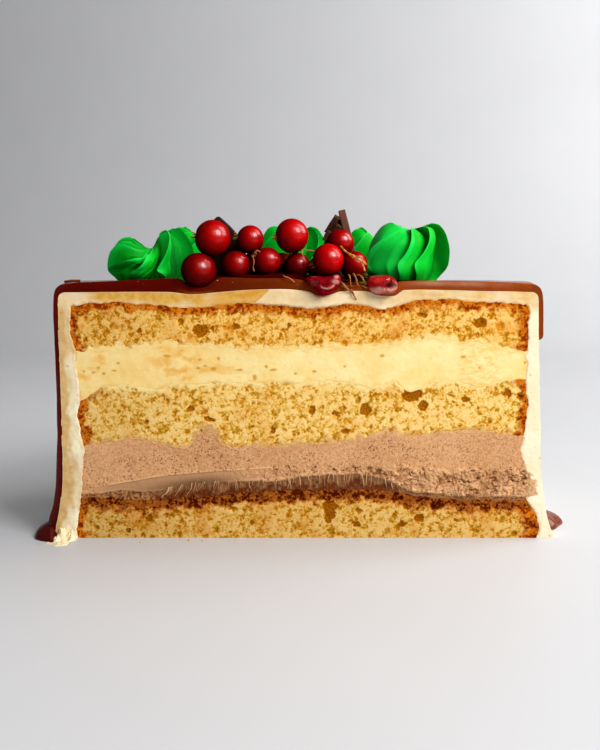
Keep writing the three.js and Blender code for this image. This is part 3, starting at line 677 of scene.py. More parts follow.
def mousse_finish():
    """Mousse: matt tan with a fine grain, painted shade in its pits and cracks, painted light on the knife's
    lip and the tops of clumps, and a smooth greyish band that the knife left, darker as painted shade as
    well as a smear, with a painted shadow in it at the left."""
    r = Recipe("chocolate_mousse", Specular_IOR_Level=0.08)
    tone = r.noise(14, 3)
    fine = r.noise(0.65, 3, 0.75)
    grit = 1 - 0.8 * r.tag("band")
    tan = r.mix(tone.step(0.3, 0.7), (0.64, 0.315, 0.135), (0.72, 0.38, 0.175))
    tan = r.mix(fine.step(0.48, 0.68) * grit * 0.58, tan, (0.40, 0.17, 0.06))
    tan = r.mix(fine.step(0.5, 0.3) * grit * 0.45, tan, (0.92, 0.56, 0.30))
    # Paler on the knife's lip and the tops of clumps, which is painted light, and on the lower hem.
    tan = r.mix(r.tag("pale"), tan, (0.84, 0.52, 0.27))
    tan = r.mix(r.tag("crumb"), tan, (0.80, 0.47, 0.155))
    # Painted shade in the pits, cracks and holes.
    tan = r.mix(r.tag("pit"), tan, (0.22, 0.072, 0.018))
    # The knife band: a smooth smear, darker than the rest as painted shade of its hollow as well.
    tan = r.mix(r.tag("band"), tan, (0.45, 0.24, 0.115))
    # Painted shadow in the knife band at the left.
    tan = r.mix(r.tag("dark"), tan, (0.12, 0.048, 0.021))
    return r.set(Base_Color=tan, Roughness=0.8 - 0.25 * r.tag("band"), Normal=r.bump(fine, 0.18 * grit))


def cream_finish():
    """Vanilla cream: soft yellow ivory with faint drag marks, amber smears, and bubbles painted dark amber as
    painted shade.
    """
    r = Recipe("vanilla_cream_ivory", Subsurface_Weight=0.1, Subsurface_Radius=(1.0, 0.7, 0.3),
               Subsurface_Scale=0.0012, Specular_IOR_Level=0.1)
    tone = r.noise(7, 3)
    drag = r.noise(1.6, 3, 0.6, r.stretched(0.6, 1, 1.2))
    fine = r.noise(0.7, 3, 0.6)
    ivory = r.mix(tone.step(0.3, 0.7), (0.94, 0.69, 0.25), (0.97, 0.78, 0.36))
    ivory = r.mix(fine.step(0.5, 0.75) * 0.3, ivory, (0.88, 0.58, 0.16))
    ivory = r.mix(r.tag("smear"), ivory, (0.86, 0.42, 0.05))
    ivory = r.mix(r.tag("scratch") * drag.step(0.45, 0.6) * 0.5, ivory, (0.82, 0.45, 0.08))
    # Painted shade in the bubbles.
    ivory = r.mix(r.tag("pit") * 0.9, ivory, (0.62, 0.27, 0.012))
    return r.set(Base_Color=ivory, Roughness=0.5 + 0.15 * drag, Normal=r.bump(drag, 0.07))


def frosting_finish():
    """Frosting: ivory with faint scraper marks, golden where crumb has smeared it on the cut, darker and
    yellower on its left strip, partly a buttery tone and partly painted shade, and browned specks."""
    r = Recipe("ivory_frosting", Subsurface_Weight=0.1, Subsurface_Radius=(1.0, 0.75, 0.45),
               Subsurface_Scale=0.0012, Specular_IOR_Level=0.15)
    tone = r.noise(9, 3)
    drag = r.noise(3, 3, 0.55, r.stretched(0.35, 0.35, 2))
    ivory = r.mix(tone.step(0.3, 0.7), (0.90, 0.77, 0.50), (0.94, 0.84, 0.61))
    amber = r.mix(r.noise(2.2, 4, 0.6).step(0.35, 0.65), (0.66, 0.33, 0.045), (0.76, 0.44, 0.09))
    ivory = r.mix(r.tag("golden"), ivory, amber)
    # The left strip: a buttery tone and painted shade.
    butter = r.mix(r.noise(3.4, 4, 0.6).step(0.35, 0.65), (0.58, 0.32, 0.075), (0.72, 0.45, 0.15))
    ivory = r.mix(r.tag("butter"), ivory, butter)
    ivory = r.mix(r.tag("smear"), ivory, (0.68, 0.26, 0.02))
    spilt = r.mix(r.noise(0.8, 3, 0.7).step(0.4, 0.6), (0.70, 0.40, 0.18), (0.46, 0.22, 0.085))
    ivory = r.mix(r.tag("tan"), ivory, spilt)
    ivory = r.mix(r.tag("pale"), ivory, (0.99, 0.89, 0.60))
    return r.set(Base_Color=ivory, Roughness=0.45 + 0.2 * drag, Normal=r.bump(drag, 0.16))


def glaze_finish():
    """Chocolate glaze: glossy dark red brown outside, plain on the cut, painted warmer and lighter where
    light falls on it, with a painted sheen and a few tiny specks."""
    r = Recipe("chocolate_glaze", Specular_IOR_Level=0.0, Coat_Roughness=0.12, Coat_IOR=1.4)
    tone = r.noise(16, 2)
    brown = r.mix(tone.step(0.3, 0.7), (0.06, 0.0012, 0.0004), (0.085, 0.003, 0.0008))
    # Warm: painted light, lighter and warmer where the light falls on the right and at the notch.
    brown = r.mix(r.tag("warm"), brown, (0.26, 0.046, 0.005))
    # Painted sheen.
    brown = r.mix(r.tag("sheen"), brown, (0.46, 0.22, 0.14))
    brown = r.mix(r.noise(0.55, 0).step(0.83, 0.86) * 0.6, brown, (0.55, 0.36, 0.24))
    coat = r.tag("gloss") * (0.5 + 0.5 * tone)
    return r.set(Base_Color=brown, Roughness=0.24 + 0.14 * tone, Coat_Weight=coat,
                 Normal=r.bump(r.noise(7, 2), 0.2))


def icing_finish():
    """Green icing: satin, darker in the grooves as painted shade and paler along the ridges as painted light.
    """
    r = Recipe("green_icing", Subsurface_Weight=0.08, Subsurface_Radius=(0.2, 1.0, 0.2),
               Subsurface_Scale=0.001, Specular_IOR_Level=0.04)
    tone = r.noise(6, 2)
    green = r.mix(tone.step(0.3, 0.7), (0.0006, 0.38, 0.010), (0.001, 0.46, 0.022))
    # Painted shade in the grooves and on the side away from +X.
    green = r.mix(r.tag("groove") * 0.9, green, (0.0, 0.13, 0.001))
    # Painted light along the ridges and towards a given angle.
    green = r.mix(r.tag("ridge") * 0.5, green, (0.012, 0.72, 0.09))
    return r.set(Base_Color=green, Roughness=0.4 + 0.12 * tone, Normal=r.bump(r.noise(1.0, 3), 0.06))


def currant_finish():
    """Currant skin: deep red with faint veins from tip to stalk, brighter in some berries, partly their own
    tone and partly painted light and shade, with a painted glow towards the lit side and painted shade
    away from it, shining on its upper side."""
    r = Recipe("currant_red", Specular_IOR_Level=0.0, Coat_Roughness=0.23, Coat_IOR=1.6)
    tone = r.noise(2.4, 3)
    # Brightness: the berry's own tone, painted shade on low and rear berries, and a painted glow.
    red = r.mix(r.tag("bright"), (0.11, 0.0003, 0.0006), (0.48, 0.0008, 0.0008))
    red = r.mix(tone.step(0.45, 0.8) * 0.5, red, (0.05, 0.0002, 0.0004))
    red = r.mix(r.tag("vein") * 0.06, red, (0.6, 0.02, 0.01))
    red = r.mix(r.tag("shade"), red, (0.14, 0.14, 0.14), "MULTIPLY")
    red = r.mix(r.tag("tip"), red, (0.06, 0.01, 0.004))
    coat = (0.04 + 0.8 * r.tag("shine")) * (0.4 + 0.6 * tone.step(0.25, 0.7))
    return r.set(Base_Color=red, Roughness=0.5, Coat_Weight=coat, Normal=r.bump(r.noise(1.1, 3), 0.05))


def crushed_finish():
    """Crushed currant: wet dark crimson skin with a painted glow at one side and painted shade in its folds
    and hollow, with grey pink pulp and amber juice where it is torn."""
    r = Recipe("crushed_currant_skin", Coat_Roughness=0.07, Coat_IOR=1.5, Specular_IOR_Level=0.0)
    tone = r.noise(2.4, 2)
    red = r.mix(tone.step(0.35, 0.7), (0.12, 0.0006, 0.003), (0.36, 0.002, 0.007))
    # Painted glow.
    red = r.mix(r.tag("glow"), red, (0.60, 0.02, 0.012))
    # Painted shade in folds, hollows and under the currants.
    red = r.mix(r.tag("crease"), red, (0.022, 0.0008, 0.001))
    red = r.mix(r.tag("amber"), red, (0.24, 0.075, 0.03))
    red = r.mix(r.tag("pulp"), red, (0.60, 0.29, 0.22))
    coat = 0.03 + 0.9 * r.tag("wet")
    return r.set(Base_Color=red, Roughness=0.4, Coat_Weight=coat, Normal=r.bump(tone, 0.3))


def stalk_finish():
    """Stalk: orange tan, dark brown where tagged dry and paler where tagged pale, a little wet."""
    r = Recipe("stalk_tan", Specular_IOR_Level=0.3)
    tone = r.noise(1.1, 3)
    tan = r.mix(tone.step(0.3, 0.7), (0.34, 0.075, 0.006), (0.72, 0.30, 0.03))
    tan = r.mix(r.tag("dry"), tan, (0.15, 0.03, 0.006))
    tan = r.mix(r.tag("pale"), tan, (0.62, 0.26, 0.12))
    return r.set(Base_Color=tan, Roughness=0.35 + 0.2 * tone, Normal=r.bump(r.noise(0.5, 3), 0.2))


def chocolate_finish():
    """Chocolate: satin brown, paler where painted light falls, nearly black low down as painted shadow."""
    r = Recipe("chocolate_brown", Specular_IOR_Level=0.12)
    tone = r.noise(2.2, 3, 0.6, r.stretched(2, 1, 0.5))
    brown = r.mix(tone.step(0.3, 0.7), (0.032, 0.009, 0.004), (0.085, 0.028, 0.014))
    # Painted light.
    brown = r.mix(r.tag("lit"), brown, (0.23, 0.085, 0.05))
    # Painted shadow low down.
    brown = r.mix(r.tag("deep"), brown, (0.012, 0.0025, 0.0015))
    return r.set(Base_Color=brown, Roughness=0.42 + 0.2 * tone, Normal=r.bump(tone, 0.1))


def backed(front, lap=0.0):
    """The body behind a cut face: floor and roof run back to the half circle between the ends, with a
    wall there. A filling laps by a distance behind the edges of its neighbours."""
    low = front[:, 0] + (0, lap, -lap)
    high = front[:, -1] + (0, lap, lap)

    def behind(edge):
        """An edge set back to the half circle: the root of the radius squared less the distance squared."""
        middle = (left_end(edge[:, 2]) + right_end(edge[:, 2])) / 2
        half = (right_end(edge[:, 2]) - left_end(edge[:, 2])) / 2
        depth = np.sqrt(np.maximum(1, half**2 - (edge[:, 0] - middle) ** 2))
        return points_of(edge[:, 0], np.maximum(depth, edge[:, 1]), edge[:, 2])

    low_back, high_back = behind(low), behind(high)
    sheets = [np.stack([front[:, 0], low, low_back], 1), np.stack([front[:, -1], high, high_back], 1),
              np.stack([low_back, high_back], 1)]
    for end in (0, -1):
        chain = np.concatenate([low[end][None], front[end], high[end][None], high_back[end][None]])
        sheets.append(np.stack([chain, np.broadcast_to(low_back[end], chain.shape)], 1))
    return [(sheet, {}) for sheet in sheets]


def cut_grid(floor, roof, across, up):
    """Places on the cut between two lines and the two ends: even shares across, and even shares up. Gives
    the place, the share up and the distance to the nearest edge."""
    u = np.linspace(0, 1, across)[:, None]
    v = np.linspace(0, 1, up)[None, :]
    x = CUT_START + CUT_WIDTH * u
    for _ in range(2):
        z = floor(x) + v * (roof(x) - floor(x))
        x = left_end(z) * (1 - u) + right_end(z) * u
    z = floor(x) + v * (roof(x) - floor(x))
    ends = np.minimum(u, 1 - u) * END_SPAN
    return x, z, v, np.minimum(ends, np.minimum(z - floor(x), roof(x) - z))


def layer(name, place, depth, tags, finish, node, lap=0.0):
    """One layer of the cake: its face on the cut, drawn flush at the edges, and the body behind it."""
    x, z, gap = place
    front = points_of(x, flush(x, z, depth, gap), z)
    piece(name, [(front, tags), *backed(front, lap)], finish, [node])


def crumb_relief(x, z, holes, seed):
    """Sponge crumb: recesses where noise of three sizes on bent axes passes a threshold, round pores of
    three sizes and the large bubbles. Gives the depth, a pore share and a bubble share, both of which the
    finish paints darker as painted shade."""
    bent_x = x + 0.25 * lumps(x, z, 1.1, seed)
    bent_z = z + 0.25 * lumps(x, z, 1.1, seed + 40)
    rough = sum(grain(bent_x, bent_z, size, seed + 60 + k) for k, size in enumerate((1.6, 0.85, 0.45)))
    recess = step(rough + 0.5 * grain(x, z, 4.5, seed + 70), 0.15, 0.95)
    small = pores(bent_x, bent_z, 0.95, 0.65, 0.14, 0.45, seed + 2)
    middle = pores(bent_x, bent_z * 1.15, 1.9, 0.55, 0.2, 0.75, seed + 4)
    large = pores(bent_x, bent_z * 1.1, 4.2, 0.4, 0.3, 1.1, seed + 6)
    hole = hollows(x, z, holes, seed + 8)
    depth = 0.12 + 0.02 * rough + 0.05 * recess + 0.15 * small + 0.28 * middle + 0.4 * large + 0.35 * hole
    pore = 0.15 + 0.2 * rough + 0.25 * recess + 0.85 * small + 0.85 * middle + 0.75 * large
    return depth, np.clip(pore, -0.2, 1), step(hole, 0.1, 0.4)


def end_crust(x, z, reach, seed):
    """Crust at the two ends: 1 at an end, fading over a reach bent by noise."""
    near = np.minimum(x - left_end(z), right_end(z) - x) + 1.5 * lumps(x, z, 2.0, seed)
    return 1 - step(near, 0.5 * reach, reach)


def sponge(name, floor, roof, holes, marks, up, seed, warm, dim):
    """One sponge layer: crumb between two lines, with the crust and smears that a function of place
    gives."""
    x, z, _, gap = cut_grid(floor, roof, 690, up)
    depth, pore, hole = crumb_relief(x, z, holes, seed)
    stain = step(lumps(x, z, 6, seed + 30), 0.35, 1.1) * (0.4 + 0.6 * warm)
    # Painted shade: the layer's own dimming, and more towards the left end, where less light falls.
    shade = dim + 0.27 * (1 - step(x, -66, -20))
    tags = {"pore": pore, "warm": warm, "dim": shade, "stain": stain, "hole": hole, **marks(x, z)}
    for smear in ("cream", "tan"):
        tags[smear] = tags.get(smear, 0) * (1 - hole)
    depth = depth * (1 - 0.7 * np.maximum(tags["cream"], tags["tan"]))
    layer(name + "_crumb", (x, z, gap), depth, tags, SPONGE, name)


SPONGE = sponge_finish()
GANACHE = ganache_finish()
MOUSSE = mousse_finish()
CREAM = cream_finish()
FROSTING = frosting_finish()
GLAZE = glaze_finish()
ICING = icing_finish()
CURRANT = currant_finish()
SKIN = crushed_finish()
STALK = stalk_finish()
CHOCOLATE = chocolate_finish()

ganache_floor = ragged(GANACHE_FLOOR, 0.45, 1.6, 11)
mousse_floor = ragged(MOUSSE_FLOOR, 0.3, 2.2, 12)
mousse_top = ragged(MOUSSE_TOP, 0.35, 2.4, 13)
cream_floor = ragged(CREAM_FLOOR, 0.5, 2.6, 14)
cream_top = ragged(CREAM_TOP, 0.55, 2.6, 15)
crown = ragged(CROWN, 0.35, 2.2, 16)


def near_line(line, x, z, reach, seed):
    """A smear along a line: 1 at the line, fading over a reach that noise bends."""
    away = np.abs(line(x) - z) + reach * (0.55 * lumps(x, z, 2.4, seed) + 0.35 * lumps(x, z, 0.9, seed + 5))
    return 1 - step(away, 0.25 * reach, reach)


def bottom_marks(x, z):
    """Bottom sponge: soaked dark along its top and in parts of its ends, browned at the ends and in
    patches."""
    under = ganache_floor(x) - z + 1.3 * lumps(x, z, 1.7, 71)
    patches = 0.5 * step(lumps(x, z, 8, 72), 0.35, 0.9) * step(z, 2, 8)
    toasted = np.maximum(patches, 0.8 * (1 - step(under, 2.8, 5.2)))
    ends = end_crust(x, z, 3.6 + 3.4 * step(x, 0, 60), 73)
    burnt = (0.6 + 0.25 * step(x, 0, 60)) * ends * step(lumps(x, z, 1.6, 70), -0.3, 0.5)
    soaked = np.maximum(1 - step(under, 2.3, 3.9), burnt) * (1 - 0.3 * ends)
    return {"crust": np.maximum(ends, toasted), "soaked": soaked}


def middle_marks(x, z):
    """Middle sponge: browned at the ends, smeared with cream above and with mousse below."""
    oval = ((x - SPIKE_X) / 4.4) ** 2 + ((z - 33.2) / 4.3) ** 2
    bent = oval + 0.45 * lumps(x, z, 2.2, 81) + 0.3 * lumps(x, z, 0.8, 82)
    spike = 0.85 * (1 - step(bent, 0.5, 1.15))
    at_left = 1 - step(x, -68, -57)
    under = cream_floor(x) - z + 0.9 * lumps(x, z, 1.7, 83)
    corner = at_left * (1 - step(under, 0.8, 3.4))
    ends = np.maximum(end_crust(x, z, 3.4, 74), 0.8 * corner)
    return {"crust": ends, "soaked": 0.4 * ends * step(lumps(x, z, 1.6, 71), -0.1, 0.6),
            "cream": (0.85 - 0.7 * at_left) * near_line(cream_floor, x, z, 1.7, 78),
            "tan": np.maximum(0.6 * near_line(mousse_top, x, z, 1.9, 79), spike)}


def top_marks(x, z):
    """Top sponge: browned along its top and down its ends, darkest at the left, smeared with cream
    below."""
    under = crown(x) - z + 1.1 * lumps(x, z, 1.8, 75)
    patches = 0.35 * step(lumps(x, z, 6, 76), 0.4, 1)
    ends = end_crust(x, z, 3.8, 77)
    toasted = np.maximum(np.maximum(1 - step(under, 1.6, 3.2), ends), patches)
    burnt = (0.6 - 0.2 * step(x, 0, 10)) * ends * step(lumps(x, z, 1.7, 72), -0.1, 0.6)
    return {"crust": toasted, "soaked": burnt, "cream": 0.85 * near_line(cream_top, x, z, 1.5, 80)}


def base(x):
    """The level that the cake stands on."""
    return 0 * x


sponge("sponge_bottom", base, ganache_floor, BOTTOM_HOLES, bottom_marks, up=78, seed=100, warm=0.4, dim=0.35)
sponge("sponge_middle", mousse_top, cream_floor, MIDDLE_HOLES, middle_marks, up=88, seed=200, warm=0.1, dim=0)
sponge("sponge_top", cream_top, crown, TOP_HOLES, top_marks, up=70, seed=300, warm=0.85, dim=0)


def ganache():
    """Ganache: a hollow of a half sine between its two lines, with upright streaks."""
    x, z, v, gap = cut_grid(ganache_floor, mousse_floor, 620, 24)
    hollow = 0.15 + 0.5 * np.sin(np.pi * v) * step(x, -56, -40) * (1 - 0.9 * step(x, 28, 40))
    hollow = hollow + 0.1 * lumps(x, z * 0.3, 1.2, 21)
    # Darker towards the floor of the ganache, which leaves a painted sheen above.
    edge = (1 - step(v + 0.35 * lumps(x, z, 1.1, 22), 0.1, 0.8)) * (1 - 0.6 * step(x, 28, 40))
    grit = 1 - step(x + 4 * lumps(x, z, 3, 23), -50, -42)
    grit = np.maximum(grit, 0.8 * step(x + 3 * lumps(x, z, 3, 24), 30, 40) * step(v, 0.1, 0.4))
    tags = {"edge": edge, "grit": grit}
    layer("ganache_film", (x, z, gap), hollow, tags, GANACHE, "ganache", LAP)


def mousse():
    """Mousse: pits above the knife line, a smooth band under it at the left, and torn crags at the lower
    right. Crags are clumps where noise passes a threshold, with close pits and a few cracks."""
    x, z, v, gap = cut_grid(mousse_floor, mousse_top, 690, 92)
    knife = curve(KNIFE_LINE)(x)
    left = 1 - step(x, -30, -12)
    band = left * (1 - step(z, knife - 0.5, knife - 0.1)) * step(x, -66, -60)
    lip = (1 - step(x, -14, 4)) * bell((z - knife) / 0.22) * step(x, -64, -58)
    torn = step(x, -24, 4) * (1 - step(z + lumps(x, z, 3, 31), 21.6, 23.6))
    torn = torn * (0.55 + 0.45 * step(x, 10, 34))
    bent_x = x + 0.6 * lumps(x, z, 1.6, 32)
    bent_z = z + 0.5 * lumps(x, z, 1.6, 33)

    def cracks(wide, high, size, seed, spread_size, spread_seed):
        """Thin lines: a high power of one less the size of noise, kept where slower noise is high."""
        lines = (1 - np.abs(grain(bent_x * wide, bent_z * high, size, seed))) ** 12
        return lines * step(grain(x, z, spread_size, spread_seed), -0.1, 0.5)

    crack = cracks(0.6, 1.5, 2.9, 34, 4, 35)
    split = cracks(1, 1.3, 1.7, 48, 3, 46)
    rough = grain(bent_x * 0.8, bent_z, 1.6, 47) + grain(bent_x, bent_z, 0.8, 50)
    rough = rough + 0.8 * grain(bent_x, bent_z, 0.45, 51)
    clump = step(rough + 0.8 * grain(bent_x * 0.6, bent_z, 3, 45), -0.9, 0.9)
    dot_x = x + 0.15 * lumps(x, z, 0.9, 55)
    dot_z = z + 0.15 * lumps(x, z, 0.9, 56)
    stipple = pores(dot_x, dot_z, 0.52, 0.68, 0.07, 0.27, 36) * (1 - band)
    dense = 0.3 + 0.7 * step(lumps(x, z, 5, 37) + 0.8 * bell((x + 38) / 22), -0.2, 0.8)
    dense = dense * (1 - 0.5 * step(z, mousse_top(x) - 3.5, mousse_top(x) - 1))
    holes = pores(bent_x, bent_z, 1.0, 0.7, 0.1, 0.5, 41) * torn
    edge_pits = pores(bent_x, bent_z, 1.3, 0.6, 0.2, 0.6, 43) * step(x, -30, -8) * bell((z - 22.6) / 0.9)
    smooth = 0.1 + 0.08 * lumps(x, z, 6, 38) + 0.03 * lumps(x, z, 0.9, 39)
    crags = torn * (0.3 * lumps(x, z, 3.2, 42) - 0.45 * clump + 0.8 * crack + 0.5 * split)
    crags = crags + 0.7 * holes + 1.1 * edge_pits
    hem = bell(v / 0.05) * step(x, -45, -38)
    depth = smooth + crags + 0.7 * stipple * dense + 0.2 * band - 0.15 * lip - 0.2 * hem
    # Pit share, which the finish paints dark as painted shade in the pits, cracks and holes.
    pit = 5.2 * stipple * dense + torn * (0.95 * crack + 0.8 * split + 0.42 * (1 - clump))
    pit = pit + 1.1 * holes + 1.3 * edge_pits
    # Painted shadow: the lower part of the knife band, darkened at the left.
    dark = band * (1 - step(z, mousse_floor(x) + 0.1, knife - 0.6)) * step(x, -58, -34) * 0.85
    mottle = step(lumps(x, z, 1.5, 40), -0.3, 0.5)
    crumbed = (1 - step(mousse_top(x) - z, 0, 1.2)) * 0.4 * (1 - bell((x - SPIKE_X) / 5)) * mottle
    # The pale tag: painted light on the knife's lip and the clump tops, and the paler lower hem.
    tags = {"pit": np.clip(pit, 0, 0.9), "band": band * 0.85, "dark": dark, "crumb": crumbed,
            "pale": np.clip(0.5 * lip + 0.3 * hem + 0.3 * torn * clump, 0, 0.7)}
    layer("mousse_fill", (x, z, gap), depth, tags, MOUSSE, "mousse", LAP)


def cream():
    """Vanilla cream: slow lumps, small bubbles along its middle, amber smears at the left and upright
    scratches."""
    x, z, _, gap = cut_grid(cream_floor, cream_top, 660, 64)
    fine_x = x + 0.3 * lumps(x, z, 1.2, 51)
    wide = [(at_x, at_z, 1.35 * half, 1.35 * rise) for at_x, at_z, half, rise in CREAM_HOLES]
    strewn = pores(fine_x, z * 1.5, 2.6, 0.25, 0.1, 0.3, 57) * 2
    shaded_bubble = np.maximum(hollows(x, z, wide, 52, 0.12), strewn)
    depth = 0.1 + 0.05 * lumps(x, z, 6, 53) + 0.03 * lumps(x, z, 1.8, 54) + 0.05 * shaded_bubble
    left = 1 - step(x, -38, -2)
    streaks = lumps(x * 0.7 + 1.2 * lumps(x, z, 2.5, 50), z * 1.6 + lumps(x, z, 2.5, 49), 4.2, 55, 4)
    smear = left * (0.2 + 0.65 * step(streaks, 0.05, 1.0))
    patch = np.exp(-(((x + 38) / 9) ** 2) - ((z - 57) / 3.2) ** 2)
    smear = smear + 0.7 * patch * step(lumps(x, z, 3.2, 58), -0.2, 0.7)
    border = gap + 0.8 * lumps(x, z, 1.6, 56)
    smear = np.maximum(smear, 0.3 * (1 - step(border, 0.2, 1.2)))
    scratch = between(x, 48, 52, 60, 66)
    # Bubbles go to the pit tag, which the finish paints as painted shade.
    tags = {"pit": np.clip(shaded_bubble, 0, 1), "smear": np.clip(smear, 0, 1), "scratch": scratch}
    layer("vanilla_cream_fill", (x, z, gap), depth, tags, CREAM, "vanilla_cream", LAP)


ganache()
mousse()
cream()


def frosting_face(inner_line, outer_edge):
    """Frosting on the cut: a band between its two edges, with torn flakes at the left and a fold along
    the top that are noise past a threshold and an eased step. Gives its points and its tags."""
    t = np.linspace(0, 1, 26)[None, :, None]
    band = inner_line[:, None] * (1 - t) + outer_edge[:, None] * t
    x, z, across = band[..., 0], band[..., 2], t[..., 0] + 0 * band[..., 0]
    wide = np.linalg.norm(outer_edge - inner_line, axis=1)[:, None]
    open_face = step(across * wide, 0, 0.4) * step((1 - across) * wide, 0, 0.5)
    on_top = step(z, 71, 75)
    on_left = step(-x, 55, 65) * (1 - on_top)
    spans = np.maximum(between(z, 24, 28, 56, 60), 1 - step(z, 8, 12))
    torn = on_left * spans * (1 - step(across + 0.35 * lumps(x, z * 0.7, 2.6, 63), 0.25, 0.8))
    flakes = step(lumps(x, z * 0.6, 2.1, 58), -0.35, 0.5)
    knobs = torn * (0.06 * lumps(x, z * 0.5, 2.8, 59) - 0.1 * flakes)
    fold = z - 77.4 - (x + 10.6) * 0.9
    ridge = between(x, -17, -13, 4, 24) * step(-fold, -0.25, 0.25) * on_top
    relief = 0.05 * lumps(x, z, 5, 64) + 0.03 * lumps(x, z, 1.2, 65) + knobs - 0.35 * ridge
    band[..., 1] = band[..., 1] * (1 - open_face) + open_face * relief
    along = 0.5 + 0.5 * step(x, -68, -58) + 0.3 * step(x, -38, -26) - 0.65 * step(x, -12, 30)
    golden = on_top * along * (0.92 + 0.3 * lumps(x, z * 2, 6, 66)) * (0.75 + 0.25 * step(across, 0.1, 0.5))
    outer = step(across + 0.25 * lumps(x, z * 0.5, 3, 60), 0.3, 0.8)
    # Left strip darker and yellower, most at its outer edge, where it turns away from the light: a buttery
    # tone and painted shade.
    butter = on_left * (0.22 + 0.78 * outer + 0.45 * step(z, 54, 62)) * (1 - 0.6 * torn)
    streak = between(x, -30, -18, -12, -9) * step(fold, 0.1, 0.5) * on_top
    smear = streak * np.clip(0.5 + 0.6 * lumps(x * 0.7, z * 2, 3, 67), 0, 0.85)
    rind = (1 - step(across * wide + 0.6 * lumps(x, z, 1.3, 68), 0.1, 0.7)) * 0.35
    specks = pores(x + 0.3 * lumps(x, z, 0.9, 57), z, 3.6, 0.4, 0.2, 0.75, 69)
    specks = step(specks, 0.1, 0.35) * (1 - on_top) * 0.8
    smear = np.clip(np.maximum(np.maximum(smear, rind), specks * 0.75), 0, 1)
    reach = 2.8 * between(z, 12.8, 14.4, 16, 24) * step(x, 60, 66)
    fray = 0.9 * lumps(x * 0.6, z, 1.5, 56) + 0.5 * lumps(x * 0.5, z * 1.6, 0.6, 54)
    spill = step(reach, 0.1, 0.8) * (1 - step(across * wide + fray, reach - 0.5, reach + 0.2))
    pale = np.clip(0.12 * ridge + torn * flakes * 0.85, 0, 1)
    return band, {"golden": np.clip(golden * (1 - 0.5 * ridge), 0, 1), "butter": np.clip(butter, 0, 0.9),
                  "tan": np.clip(spill, 0, 0.9), "smear": smear * (1 - 0.8 * pale), "pale": pale}


def frosting():
    """Frosting coat: side, rim and top of the outside over angle and profile, an inner face behind the
    layers, a band between the two on the cut, and a ring underneath."""
    side, corner, flat = 230, 16, 230
    turn = np.linspace(0, 1, FROSTING_TURNS)
    turn = np.pi * (turn - 0.7 * np.sin(2 * np.pi * turn) / (2 * np.pi))[:, None]
    rise = np.linspace(0, 1, side)
    bend = np.linspace(0, np.pi / 2, corner + 2)[1:-1]
    inwards = np.linspace(1, 0, flat)
    level_top = np.full(flat, FROSTING_TOP)
    out_z = np.concatenate([rise * HUB_Z, HUB_Z + RIM_ROUND * np.sin(bend), level_top])[None]
    out_r = np.concatenate([side_radius(rise * HUB_Z), HUB + RIM_ROUND * np.cos(bend), HUB * inwards])[None]
    uneven = 0.22 * lumps(turn * RADIUS, out_z, 15, 61) + 0.1 * lumps(turn * RADIUS, out_z, 3, 62)
    out_r = out_r + between(out_z, 0, 6, 70, 78) * uneven
    out_r = out_r + spread(turn, out_z)
    x = out_r * np.cos(turn) + slump(out_z)
    y = out_r * np.sin(turn)
    y[0] = y[-1] = 0
    wave = (curve(GLAZE_FLOOR)(x) - FROSTING_TOP) * np.exp(-y / 5)
    outside = points_of(x, y, out_z + wave * step(out_z, FROSTING_TOP - 1, FROSTING_TOP))

    def inner_edge(end, sign, inset):
        """The edge that meets the layers, set in by a distance: up their end, then along the crown to the
        middle."""
        top = crown(end(np.array(74.0))) - inset
        up = np.concatenate([rise * (top - INNER_ROUND), top - INNER_ROUND + INNER_ROUND * np.sin(bend)])
        corner_x = end(top) - sign * INNER_ROUND * (1 - np.cos(bend))
        ends = np.concatenate([end(up[:side]), corner_x]) - sign * inset
        reach = (end(top) - sign * (INNER_ROUND + inset)) * inwards
        return np.concatenate([ends, reach]), np.concatenate([up, crown(reach) - inset])

    def outline(inset, deep):
        """The whole inner edge from the left foot over the crown to the right foot."""
        left_x, left_z = inner_edge(left_end, -1, inset)
        right_x, right_z = inner_edge(right_end, 1, inset)
        line_x = np.concatenate([left_x, right_x[::-1][1:]])
        line_z = np.concatenate([left_z, right_z[::-1][1:]])
        return points_of(line_x, deep + level(line_x, line_z), line_z)

    hidden = outline(0.6, 0.9)
    count = side + corner + flat
    left, right = hidden[:count], hidden[::-1][:count]
    apart = right[:, 0] - left[:, 0]
    share = (1 + np.cos(turn)) / 2
    inside = points_of(left[:, 0] + share * apart, np.sin(turn) * apart / 2,
                       left[:, 2] + share * (right[:, 2] - left[:, 2]))
    inside[-1] = left
    inside[0] = right
    outer_edge = np.concatenate([outside[-1], outside[0, ::-1][1:]])
    inner_line = outline(0, 0)
    lap = np.stack([hidden, inner_line], 1)
    under = np.stack([outside[:, 0], inside[:, 0]], 1)
    feet = [(np.stack([inner_line[end], outer_edge[end], hidden[end], hidden[end]]).reshape(2, 2, 3), {})
            for end in (0, -1)]
    sheets = [(outside, {}), (inside, {}), frosting_face(inner_line, outer_edge), (lap, {"smear": 0.1}),
              (under, {}), *feet]
    piece("frosting_coat", sheets, FROSTING, ["frosting"])


frosting()


def all_drips():
    """The drips that are seen, then those round the back: even steps with uneven lengths and widths."""
    drips = list(SEEN_DRIPS)
    for i in range(8):
        turn = 28 + 17.6 * i + 7 * (draw(i + 1) - 0.5)
        tip = LONG_TIP if i in LONG_DRIPS else 24 + 36 * draw(i + 31)
        drips.append((turn, 2.8 + 1.4 * draw(i + 61), tip))
    return drips


DRIPS = all_drips()


